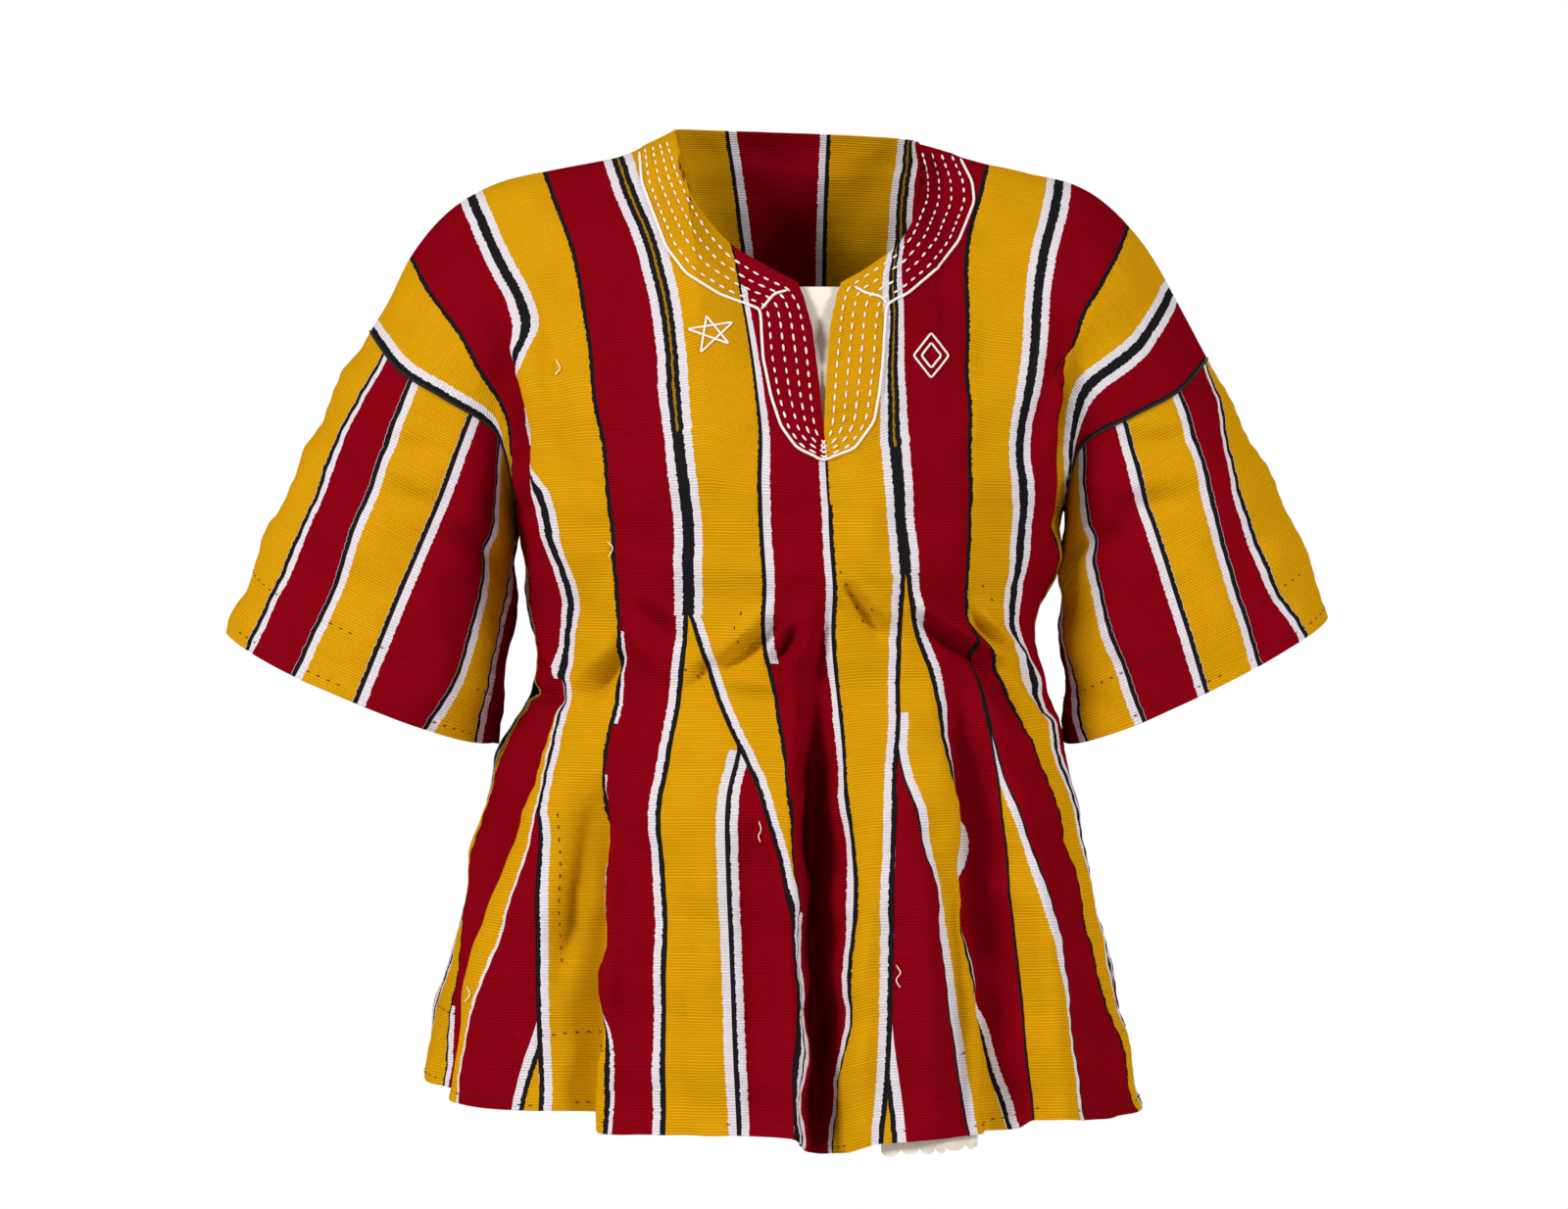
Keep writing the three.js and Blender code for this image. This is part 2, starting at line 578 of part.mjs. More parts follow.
function sleeveCells(sleeve) {
  const ring = armholeRing(sleeve.side);
  const rows = ring.map(({ at, share, face }) => {
    const end = cuffPoint(sleeve, share, face);
    return Array.from({ length: SLEEVE_ROWS + 1 }, (_, k) => {
      const t = k / SLEEVE_ROWS;
      const bow = SLEEVE_BOW * Math.sin(Math.PI * t) * Math.cos(Math.PI * share);
      return add(mix(at, end, t), [sleeve.side * bow, 0, bow / 2]);
    });
  });
  rows.push(rows[0]);
  return cellsOf(rows, sleeve.side < 0);
}

// Along the armhole the sleeve and the body share one facing, except near the armpit, where the two
// walls stand back to back in the crease.
function joinFacings(sleeve, sleeveNormals) {
  for (const { at, share } of armholeRing(sleeve.side)) {
    const key = keyOf(at);
    const ours = sleeveNormals.get(key);
    const theirs = bodyNormals.get(key);
    const common = unit(add(ours, theirs));
    const join = clamp((ARMPIT_SPLIT.end - share) / (ARMPIT_SPLIT.end - ARMPIT_SPLIT.start));
    sleeveNormals.set(key, unit(mix(ours, common, join)));
    bodyNormals.set(key, unit(mix(theirs, common, join)));
  }
}

// ---- the quilted band -----------------------------------------------------------------------
const TURN_MARGIN = 1; // takes in the columns that end right beside the neck's two ends
const isOnNeck = (turn) => turn > NECK_TURNS[0] - TURN_MARGIN && turn < NECK_TURNS[1] + TURN_MARGIN;

function neckEdge(grid) {
  const edge = [];
  grid.lines.slice(0, -1).forEach((line, index) => {
    const from = line.turn(ARMPIT_HEIGHT);
    const to = grid.lines[index + 1].turn(ARMPIT_HEIGHT);
    grid.rows[0][index].forEach((p, c) => {
      if (isOnNeck(lerp(from, to, c / Math.max(line.next, 1)))) edge.push(p);
    });
  });
  return edge;
}

const frontNeck = neckEdge(front);
const backNeck = neckEdge(back);
const distance = (p, q) => Math.hypot(...add(p, q, -1));
const isNear = (p, edge) => edge.some((q) => distance(p, q) < BAND_WIDTH);

function isInPlacket([x, , z]) {
  const middle = (slitEdge(z, -1) + slitEdge(z, 1)) / 2;
  const round = clamp((PLACKET.straight - z) / (PLACKET.straight - PLACKET.foot));
  return z > PLACKET.foot && Math.abs(x - middle) < PLACKET.half * Math.sqrt(1 - round ** 2);
}

const frontLift = (p) => (isNear(p, frontNeck) || isInPlacket(p) ? BAND_RAISE : 0);
const backLift = (p) => (isNear(p, backNeck) ? BAND_RAISE : 0);

// ---- linings --------------------------------------------------------------------------------
// Behind the slit: one column of the panel on each side of it, and across the opening.
function slitLining() {
  const middle = front.lines.findIndex((line) => line.side < 0);
  const rows = front.rows.slice(0, SLIT_LINING_ROWS).map((row) => [
    row[middle - 1].at(-2),
    last(row[middle - 1]),
    row[middle + 1][0],
    row[middle + 1][1],
  ]);
  return trianglesOf(cellsOf(rows, false));
}

// Inside the hem of the third front gore: its last rows and a scalloped edge just below.
function skirtLining() {
  const index = front.lines.findIndex((line) => line.gore === FRONT_GORES[2]);
  const rows = stretchOf(front, index).slice(-SKIRT_LINING_ROWS);
  const hemRow = last(rows);
  const above = rows.at(-2);
  const ragged = hemRow.map((p, c) => {
    const down = unit(add(p, above[c], -1));
    const drop = SKIRT_LINING_DROP + SKIRT_LINING_SCALLOP * (c % 2);
    const point = add(p, down, drop);
    bodyNormals.set(keyOf(point), bodyNormals.get(keyOf(p)));
    return point;
  });
  return trianglesOf(cellsOf([...rows, ragged], false));
}

// ---- assembly -------------------------------------------------------------------------------
const FINISHES = {
  golden: { color: 0xd89b10, roughness: 0.85, metalness: 0 },
  crimson: { color: 0x8c0c1c, roughness: 0.85, metalness: 0 },
  cream: { color: 0xeddfc8, roughness: 0.9, metalness: 0 },
};
const smock = new THREE.Group();

function addPiece(name, geometry, finish) {
  const mesh = new THREE.Mesh(geometry, new THREE.MeshStandardMaterial(FINISHES[finish]));
  mesh.name = name;
  smock.add(mesh);
}

const lining = { from: WALL + LINING_GAP, wall: LINING_WALL };
for (const sleeve of SLEEVES) {
  const triangles = trianglesOf(sleeveCells(sleeve));
  const normals = gatherNormals([triangles]);
  joinFacings(sleeve, normals);
  addPiece(sleeve.name, wallGeometry(triangles, normals), "crimson");
}
addPiece("front_panel", wallGeometry(frontPieces.panel, bodyNormals, { lift: frontLift }), "golden");
addPiece("back_panel", wallGeometry(backPieces.panel, bodyNormals, { lift: backLift }), "golden");
for (const gore of gores) addPiece(gore.name, wallGeometry(gore.triangles, bodyNormals), "crimson");
addPiece("slit_lining", wallGeometry(slitLining(), bodyNormals, lining), "cream");
addPiece("skirt_lining", wallGeometry(skirtLining(), bodyNormals, lining), "cream");

export default smock;
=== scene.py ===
# %% [markdown]
# # A strip-woven smock top, standing open as it is worn
#
# The cloth of such a smock is woven in narrow strips, each with a golden and a crimson half and
# with white and black lines at its edges. The strips are sewn side by side, and in the skirt
# triangles cut from the same strips (gores) are let in, so that it flares.
#
# The CAD frame has every panel as a rigid wall. This script makes the same pieces again as thin
# shells on the same form, fine enough for soft folds, puckered seams and woven ribs, and then adds
# the embroidery and the threads. Sizes in the tables are millimetres; meshes are made in metres.

import math

import bpy
import numpy as np
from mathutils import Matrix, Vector
from mathutils.bvhtree import BVHTree


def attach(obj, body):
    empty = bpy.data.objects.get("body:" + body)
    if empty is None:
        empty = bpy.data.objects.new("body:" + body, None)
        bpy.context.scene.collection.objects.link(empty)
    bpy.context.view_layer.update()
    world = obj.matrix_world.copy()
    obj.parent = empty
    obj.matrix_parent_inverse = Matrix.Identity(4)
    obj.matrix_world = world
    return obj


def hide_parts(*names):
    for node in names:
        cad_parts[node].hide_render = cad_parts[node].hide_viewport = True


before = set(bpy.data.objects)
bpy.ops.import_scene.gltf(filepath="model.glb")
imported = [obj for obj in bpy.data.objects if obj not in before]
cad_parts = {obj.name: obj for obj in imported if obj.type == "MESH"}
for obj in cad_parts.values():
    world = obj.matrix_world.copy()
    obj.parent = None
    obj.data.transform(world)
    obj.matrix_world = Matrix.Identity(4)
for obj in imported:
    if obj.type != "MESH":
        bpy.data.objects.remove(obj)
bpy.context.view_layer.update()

# %% [markdown]
# ## Sizes of the form
#
# The form has a front and a back face. A place on a face is a **turn** (degrees round the body, -90
# at the left side seam, 90 at the right one) and a **row** (0 at the shoulder ridge or the neck
# edge, 1 at armpit height, 2 at the hem).

# %%
MM = 0.001
WALL = 1.6
LINING_WALL = 1.0
SEAM_GAP = 0.3
ARMPIT_HEIGHT = -232
SECTION_POWER = 2.5

# height, left half-width, right half-width, depth to the front, depth to the back
BODY = [
    (-232, 182, 179, 122, 112), (-275, 175, 171, 119, 104), (-315, 170, 160, 114, 97),
    (-350, 169, 167, 114, 98), (-390, 190, 178, 122, 106), (-440, 206, 190, 130, 116),
    (-500, 219, 202, 137, 126), (-560, 233, 216, 143, 134), (-650, 250, 236, 151, 145),
]
# turn, across, height
RIDGE_LEFT = [
    (-90, -277, -114), (-84, -264, -93), (-77, -250, -64), (-70, -228, -38), (-64, -208, -24),
    (-55, -182, -14), (-45, -148, -7), (-36, -114, 0), (-29, -92, 9), (-24, -76, 17),
]
RIDGE_RIGHT = [
    (41.5, 83, 8), (46, 100, 3), (51, 124, -4), (58, 155, -11), (65, 187, -19), (72, 214, -37),
    (79, 240, -70), (85, 258, -104), (90, 273, -132),
]
NECK_LEFT = [(-24, -76, 17), (-18, -73, -8), (-11, -63, -33), (-4, -43, -60), (3, -20, -76), (10, 4, -89)]
NECK_RIGHT = [
    (10, 31, -89), (16, 50, -78), (22, 68, -64), (28, 79, -45), (34, 85, -24), (38, 86, -6),
    (41.5, 83, 8),
]
NECK_CARRY_HEIGHT = 16
BACK_NECK_SET = 46
BACK_NECK_LIFT = 7
SLIT_TURN = 10
SLIT_REACH = 7
SLIT = [(-89, 13.5), (-97, 11), (-120, 5.5), (-150, 2.5), (-183, 0)]  # height, half-width
ARMHOLE = [(0, 0), (0.25, 0.26), (0.4, 0.56), (0.56, 0.88), (0.75, 0.97), (1, 1)]  # drop, run
ARMHOLE_DEPTH = 60
ARM_RISE_TURN = 50
ARM_RUN_TURN = 64
ARM_SPREAD = 1.3
ARM_SWELL_LEAN = 0.9
ARM_SWELL_ROUND = 0.85
SHOULDER_FALL = 1.9
SHOULDER_ROUND = 0.7
# turn, height
HEM = {
    "front": [
        (-90, -603), (-80, -606), (-68, -610), (-60, -614), (-44.6, -617), (-43.2, -626), (-30, -627),
        (0, -628), (3, -636), (8, -643), (12, -640), (19, -633), (28, -630), (44, -628), (50.5, -627),
        (52, -621), (65, -623), (78, -624), (90, -622),
    ],
    "back": [(-90, -603), (-45, -620), (0, -632), (45, -629), (90, -622)],
}
# Folds: turn and height at the top, turn and height at the end, size out (+) or in (-), width of the
# left and the right flank in degrees, and over how much height it grows at the top and fades at the end.
FOLDS = {
    "front": [
        (-60, -385, -66, -660, 12, 3.5, 10, 100, 0), (-67, -370, -76, -660, -14, 5, 4, 90, 0),
        (-51, -350, -46, -660, -9, 4, 6, 100, 0), (-19, -330, -15, -660, 8, 13, 10, 140, 0),
        (-3, -330, 0, -660, 8, 7, 3, 90, 0), (7, -325, 8, -660, -27, 4, 5, 130, 0),
        (26, -360, 29, -660, 9, 8, 9, 120, 0), (50, -300, 47, -660, -17, 5, 3.5, 120, 0),
        (57, -350, 57, -660, 9, 4, 8, 120, 0), (74, -400, 73, -660, -7, 5, 5, 90, 0),
        (-64, -80, -63, -290, 9, 5, 12, 70, 80), (-72, -80, -71, -290, -12, 6, 4, 70, 80),
        (69, -100, 68, -290, 8, 10, 4, 70, 80), (76, -100, 75, -290, -11, 4, 5, 70, 80),
        # Sharper lips and deeper floors of the main pleats
        (7.5, -310, 8, -660, -12, 3.2, 3.4, 110, 0), (1.2, -320, 2.2, -660, 7, 3.5, 1.6, 60, 0),
        (13, -340, 13, -660, 4, 1.6, 4, 90, 0), (50, -330, 50, -660, -8, 5, 2.4, 90, 0),
        (-50, -380, -44.5, -660, -14, 4.5, 1.3, 90, 0), (-45.5, -380, -40, -660, 5, 1.4, 4, 90, 0),
        (62, -420, 63, -660, -4, 4, 3, 90, 0), (36, -400, 37, -660, -4, 3, 3, 90, 0),
        (-26, -420, -24, -660, -4, 3, 4, 90, 0),
    ],
    "back": [
        (-66, -370, -68, -660, -10, 5, 5, 110, 0), (-57, -360, -57, -660, 9, 5, 8, 110, 0),
        (-41, -330, -43, -660, -13, 6, 4, 130, 0), (-25, -330, -26, -660, 10, 6, 9, 130, 0),
        (-3, -300, -6, -660, -17, 5, 6, 150, 0), (11, -330, 9, -660, 8, 6, 6, 120, 0),
        (27, -340, 25, -660, 10, 8, 8, 120, 0), (46, -320, 46, -660, -14, 4, 5, 130, 0),
        (59, -360, 61, -660, 9, 6, 7, 110, 0), (-68, -90, -66, -300, -10, 6, 6, 80, 90),
        (70, -100, 68, -300, -9, 6, 6, 80, 90),
    ],
}
SEAM_CALM = 12
RIDGE_CALM = 0.15
CUFF_DEPTH = 62
CUFF_BOW = 9
CUFF_POWER = 2.2
SLEEVE_BOW = 5
# Cuff corners seen from the front: top across, top height, bottom across, bottom height
CUFFS = {-1: (-370, -312, -196, -385), 1: (351, -301, 180, -385)}
OUT = {"front": -1, "back": 1}


def lerp(a, b, t):
    return a + (b - a) * t


def curve(table, column=1):
    """A smooth curve through one column of a table, read at its first column."""
    rows = sorted(table)
    xs = np.array([row[0] for row in rows], float)
    ys = np.array([row[column] for row in rows], float)
    slopes = np.empty_like(ys)
    slopes[1:-1] = (ys[2:] - ys[:-2]) / (xs[2:] - xs[:-2])
    slopes[0] = (ys[1] - ys[0]) / (xs[1] - xs[0])
    slopes[-1] = (ys[-1] - ys[-2]) / (xs[-1] - xs[-2])

    def read(x):
        at = np.clip(x, xs[0], xs[-1])
        i = np.clip(np.searchsorted(xs, at) - 1, 0, len(xs) - 2)
        h = xs[i + 1] - xs[i]
        t = (at - xs[i]) / h
        start = (1 + 2 * t) * (1 - t) ** 2 * ys[i] + t * (1 - t) ** 2 * h * slopes[i]
        end = t * t * (3 - 2 * t) * ys[i + 1] + t * t * (t - 1) * h * slopes[i + 1]
        return start + end

    return read


half_left, half_right = curve(BODY, 1), curve(BODY, 2)
depth_of = {"front": curve(BODY, 3), "back": curve(BODY, 4)}
ridge = {side: (curve(t, 1), curve(t, 2)) for side, t in ((-1, RIDGE_LEFT), (1, RIDGE_RIGHT))}
neck = {side: (curve(t, 1), curve(t, 2)) for side, t in ((-1, NECK_LEFT), (1, NECK_RIGHT))}
armhole_run = curve(ARMHOLE)
hem_of = {face: curve(table) for face, table in HEM.items()}
NECK_TURNS = (RIDGE_LEFT[-1][0], RIDGE_RIGHT[0][0])


def body_section(face, turn, height):
    a = np.radians(turn)
    width = np.where(turn < 0, half_left(height), half_right(height))
    reach = np.abs(np.sin(a) / width) ** SECTION_POWER
    rise = np.abs(np.cos(a) / depth_of[face](height)) ** SECTION_POWER
    radius = (reach + rise) ** (-1 / SECTION_POWER)
    return radius * np.sin(a), radius * np.cos(a)


def by_side(side, pair, index, turn):
    return np.where(side < 0, pair[-1][index](turn), pair[1][index](turn))


def top_of(face, turn, side):
    """Across and height of the top of a column, and the height from which it falls."""
    on_ridge = (turn <= NECK_TURNS[0]) | (turn >= NECK_TURNS[1])
    across = by_side(side, ridge, 0, turn)
    height = by_side(side, ridge, 1, turn)
    if face == "front":
        neck_across = by_side(side, neck, 0, turn)
        neck_height = by_side(side, neck, 1, turn)
        carry = NECK_CARRY_HEIGHT
    else:
        share = np.clip((turn - NECK_TURNS[0]) / (NECK_TURNS[1] - NECK_TURNS[0]), 0, 1)
        arch = np.sin(np.pi * share)
        (_, left, left_height), (_, right, right_height) = RIDGE_LEFT[-1], RIDGE_RIGHT[0]
        neck_across = lerp(left, right, (1 - np.cos(np.pi * share)) / 2)
        neck_height = lerp(left_height, right_height, share) + BACK_NECK_LIFT * np.sqrt(np.maximum(arch, 0))
        carry = neck_height + BACK_NECK_SET * arch
    return (
        np.where(on_ridge, across, neck_across),
        np.where(on_ridge, height, neck_height),
        np.where(on_ridge, height, carry),
    )


def fold_push(face, turn, height):
    total = np.zeros(np.broadcast(turn, height).shape)
    for turn0, height0, turn1, height1, size, left, right, run_in, run_out in FOLDS[face]:
        down, up = height0 - height, height - height1
        middle = lerp(turn0, turn1, down / (height0 - height1))
        flank = np.where(turn < middle, left, right)
        grow = np.sin(np.pi / 2 * np.clip(down / run_in, 0, 1)) ** 2
        fade = np.sin(np.pi / 2 * np.clip(up / run_out, 0, 1)) ** 2 if run_out else 1
        total = total + np.where((down > 0) & (up > 0), size * grow * fade, 0) * np.exp(
            -(((turn - middle) / flank) ** 2)
        )
    return total


def slit_edge(height, side):
    middle_top = (NECK_LEFT[-1][1] + NECK_RIGHT[0][1]) / 2
    share = np.clip((SLIT[0][0] - height) / (SLIT[0][0] - ARMPIT_HEIGHT), 0, 1)
    low = body_section("front", np.float64(SLIT_TURN), ARMPIT_HEIGHT)[0]
    half = np.interp(height, [row[0] for row in SLIT[::-1]], [row[1] for row in SLIT[::-1]])
    return lerp(middle_top, low, share) + side * half


def face_point(face, turn, row, side):
    """Points of a face in millimetres. side is -1 or 1 and tells the two halves of the neck apart."""
    turn, row, side = np.broadcast_arrays(np.asarray(turn, float), row, side)
    a = np.radians(turn)
    share = np.clip(row, 0, 1)
    top_across, top_height, carry = top_of(face, turn, side)
    low_across, low_depth = body_section(face, turn, ARMPIT_HEIGHT)
    height = lerp(top_height, ARMPIT_HEIGHT, share)
    arm = np.clip((np.abs(turn) - ARM_RUN_TURN) / (90 - ARM_RUN_TURN), 0, 1)
    plain_run = 1 - (1 - share) ** SHOULDER_FALL
    run = lerp(plain_run, armhole_run(share), arm)
    fall = np.clip((carry - height) / (carry - ARMPIT_HEIGHT), 0, 1)
    spread = np.clip((np.abs(turn) - ARM_RISE_TURN) / (90 - ARM_RISE_TURN), 0, 1) ** ARM_SPREAD
    swell = np.sin(np.pi * share**ARM_SWELL_LEAN).clip(0) ** ARM_SWELL_ROUND
    out = low_depth * np.sin(np.pi / 2 * fall) ** SHOULDER_ROUND + ARMHOLE_DEPTH * spread * swell
    across = lerp(top_across, low_across, run)
    if face == "front":
        own_top = np.where(side < 0, NECK_LEFT[-1][1], NECK_RIGHT[0][1])
        own = lerp(own_top, body_section(face, np.full_like(turn, SLIT_TURN), ARMPIT_HEIGHT)[0], plain_run)
        near = np.clip(1 - np.abs(turn - SLIT_TURN) / SLIT_REACH, 0, 1)
        across = across + (slit_edge(height, side) - own) * near
    low_height = lerp(ARMPIT_HEIGHT, hem_of[face](turn), np.clip(row - 1, 0, 1))
    skirt_across, skirt_out = body_section(face, turn, low_height)
    in_yoke = row <= 1
    across, out = np.where(in_yoke, across, skirt_across), np.where(in_yoke, out, skirt_out)
    height = np.where(in_yoke, height, low_height)
    calm = np.where(in_yoke, np.clip(share / RIDGE_CALM, 0, 1), 1)
    calm = calm * np.clip((90 - np.abs(turn)) / SEAM_CALM, 0, 1)
    push = fold_push(face, turn, height) * calm
    return np.stack([across + push * np.sin(a), OUT[face] * (out + push * np.cos(a)), height], -1)


def sleeve_point(side, around, along):
    """Points of a sleeve in millimetres. around is 0 at the top, 1 at the underarm and 2 at the top
    again by way of the back; along is 0 at the armhole and 1 at the cuff."""
    around, along = np.broadcast_arrays(np.asarray(around, float), along)
    share = np.where(around <= 1, around, 2 - around)
    is_front = around <= 1
    start = np.where(
        is_front[..., None],
        face_point("front", 90.0 * side, share, side),
        face_point("back", 90.0 * side, share, side),
    )
    top_x, top_z, bottom_x, bottom_z = CUFFS[side]
    half_x, half_z = (top_x - bottom_x) / 2, (top_z - bottom_z) / 2
    angle = np.pi * share
    reach = np.sign(np.cos(angle)) * np.abs(np.cos(angle)) ** (2 / CUFF_POWER)
    out = np.sin(angle).clip(0) ** (2 / CUFF_POWER)
    length = math.hypot(half_x, half_z)
    end = np.stack(
        [
            (top_x + bottom_x) / 2 + half_x * reach + abs(half_z) / length * side * CUFF_BOW * out,
            np.where(is_front, -1, 1) * CUFF_DEPTH * out,
            (top_z + bottom_z) / 2 + half_z * reach - abs(half_x) / length * CUFF_BOW * out,
        ],
        -1,
    )
    bow = SLEEVE_BOW * np.sin(np.pi * along) * np.cos(angle)
    return lerp(start, end, along[..., None]) + np.stack([side * bow, 0 * bow, bow / 2], -1)


print("form: shoulder tips at", [face_point("front", 90 * side, 0, side).round() for side in (-1, 1)])

# %% [markdown]
# ## Where the seams run
#
# Each seam was drawn once on a front view of the smock and is kept here as it was drawn: x to the
# right and y down, in units of the drawing. A drawn point is found again on the form by looking
# for the place whose own view is nearest to it. Where a seam can't be seen from the front it is
# given as (height, turn) instead.

# %%
UNITS_PER_MM = 1.55
DRAWING_MIDDLE = (800, 617)
EYE = (-5.2, -3000.0, -294.8)
DRAWING_WIDTH = 1600

# name: (the line it leaves, the height at which it leaves it), drawn points, then (height, turn)
FRONT_SEAMS = {
    "seam_1": (
        None,
        [(421, 268), (440, 300), (470, 340), (490, 380), (503, 400), (520, 440)]
        + [(469, 940), (462, 1000), (458, 1040), (454, 1095)],
        [(-240, -86), (-330, -85), (-420, -84)],
    ),
    "gore_1_left": (
        None,
        [(482, 203), (497, 240), (515, 280), (530, 305), (541, 340), (541, 400), (546, 440), (548, 480)]
        + [(554, 500), (559, 520), (562, 540), (568, 560), (577, 580), (583, 600), (580, 620), (577, 640)]
        + [(574, 660), (577, 690), (562, 745), (546, 800), (531, 849), (522, 883), (515, 917), (503, 965)]
        + [(487, 1028), (468, 1098)],
        [],
    ),
    "gore_1_middle": (
        ("gore_1_left", -350),
        [(548, 830), (535, 880), (520, 930), (505, 980), (493, 1020), (481, 1060), (470, 1100)],
        [],
    ),
    "gore_1_right": (
        ("gore_1_left", -350),
        [(547, 740), (546, 780), (552, 840), (548, 900), (547, 940), (546, 1000), (547, 1040), (551, 1120)],
        [],
    ),
    "gore_1_corner": (("gore_1_right", -576), [(520, 1122)], []),
    "seam_3": (
        None,
        [(557, 178), (570, 218), (585, 255), (594, 300), (602, 340), (606, 400), (613, 440), (618, 480)]
        + [(621, 510), (625, 540), (630, 600), (631, 640), (633, 660), (626, 680), (625, 720), (626, 740)]
        + [(616, 830), (619, 900), (619, 1000), (620, 1060), (619, 1130)],
        [],
    ),
    "gore_2_left": (
        None,
        [(630, 160), (643, 200), (662, 240), (677, 300), (683, 340), (687, 400), (693, 460), (698, 500)]
        + [(702, 540), (703, 600), (701, 632), (694, 700), (690, 740), (682, 780), (675, 830), (678, 900)]
        + [(681, 940), (680, 1000), (680, 1150)],
        [],
    ),
    "gore_2_middle": (
        ("gore_2_right", -388),
        [(742, 800), (740, 840), (741, 880), (745, 1000), (748, 1080), (752, 1155)],
        [],
    ),
    "gore_2_right": (
        ("gore_2_left", -304),
        [(725, 700), (742, 740), (762, 780), (778, 820), (784, 840), (794, 880), (803, 920), (813, 960)]
        + [(813, 1000), (811, 1060), (808, 1090), (811, 1150)],
        [],
    ),
    "seam_5": (
        None,
        [(752, 262), (757, 300), (765, 340), (773, 400), (778, 440), (777, 490), (778, 540), (781, 580)]
        + [(783, 600), (779, 640), (783, 670), (793, 700), (798, 740), (803, 780), (808, 820), (811, 860)]
        + [(815, 920), (818, 960), (818, 1160)],
        [],
    ),
    "seam_6": (
        None,
        [(845, 500), (847, 542), (850, 580), (853, 600), (851, 620), (848, 640), (850, 680), (853, 710)]
        + [(857, 740), (860, 800), (868, 860), (872, 900), (871, 940), (867, 980), (867, 1040), (862, 1080)]
        + [(856, 1100), (851, 1130), (846, 1160)],
        [],
    ),
    "gore_3_left": (
        None,
        [(910, 280), (913, 320), (912, 360), (911, 400), (916, 480), (919, 520), (922, 560), (923, 600)]
        + [(921, 650), (920, 700), (919, 740), (914, 800), (912, 900), (911, 1000), (910, 1050), (908, 1100)]
        + [(901, 1160)],
        [],
    ),
    "gore_3_corner": (("gore_3_left", -560), [(917, 1100), (925, 1160)], []),
    "gore_3_middle": (
        ("gore_3_left", -386),
        [(924, 800), (938, 840), (951, 900), (959, 940), (967, 1000), (978, 1080), (990, 1160)],
        [],
    ),
    "gore_3_right": (
        ("gore_3_left", -276),
        [(928, 620), (938, 660), (953, 690), (961, 740), (969, 800), (979, 850), (985, 920), (989, 1000)]
        + [(996, 1040), (1005, 1080), (1018, 1120), (1028, 1155)],
        [],
    ),
    "gore_4_left": (
        None,
        [(1008, 170), (1000, 200), (992, 230), (985, 255), (986, 300), (988, 360), (989, 440), (990, 500)]
        + [(988, 560), (988, 600), (991, 640), (1003, 700), (1014, 760), (1023, 830), (1029, 900)]
        + [(1042, 1000), (1050, 1080), (1056, 1150)],
        [],
    ),
    "gore_4_middle": (
        ("gore_4_left", -384),
        [(1028, 800), (1045, 840), (1062, 900), (1072, 940), (1084, 1000), (1098, 1080), (1108, 1140)],
        [],
    ),
    "gore_4_right": (
        ("gore_4_left", -309),
        [(1008, 670), (1025, 700), (1040, 725), (1050, 745), (1066, 780)],
        [(-450, 71), (-490, 75), (-540, 78), (-622, 79)],
    ),
    "seam_9": (
        None,
        [(1081, 180), (1076, 220), (1064, 260), (1059, 300), (1057, 340), (1054, 380), (1047, 420)]
        + [(1042, 460), (1044, 500), (1046, 540), (1044, 560), (1042, 580), (1038, 600), (1034, 630)]
        + [(1034, 660), (1045, 683), (1053, 700), (1067, 730), (1073, 755)],
        [(-420, 78), (-460, 82), (-540, 84), (-622, 85)],
    ),
    "seam_10": (
        None,
        [(1152, 232), (1135, 270), (1118, 302), (1104, 318)],
        [(-160, 74), (-232, 77), (-300, 81), (-380, 86), (-450, 89), (-500, 90), (-622, 90)],
    ),
    "seam_11": (
        None,
        [(1194, 300), (1180, 328), (1165, 350), (1140, 372), (1110, 392)],
        [(-232, 86), (-280, 89), (-320, 90), (-622, 90)],
    ),
}
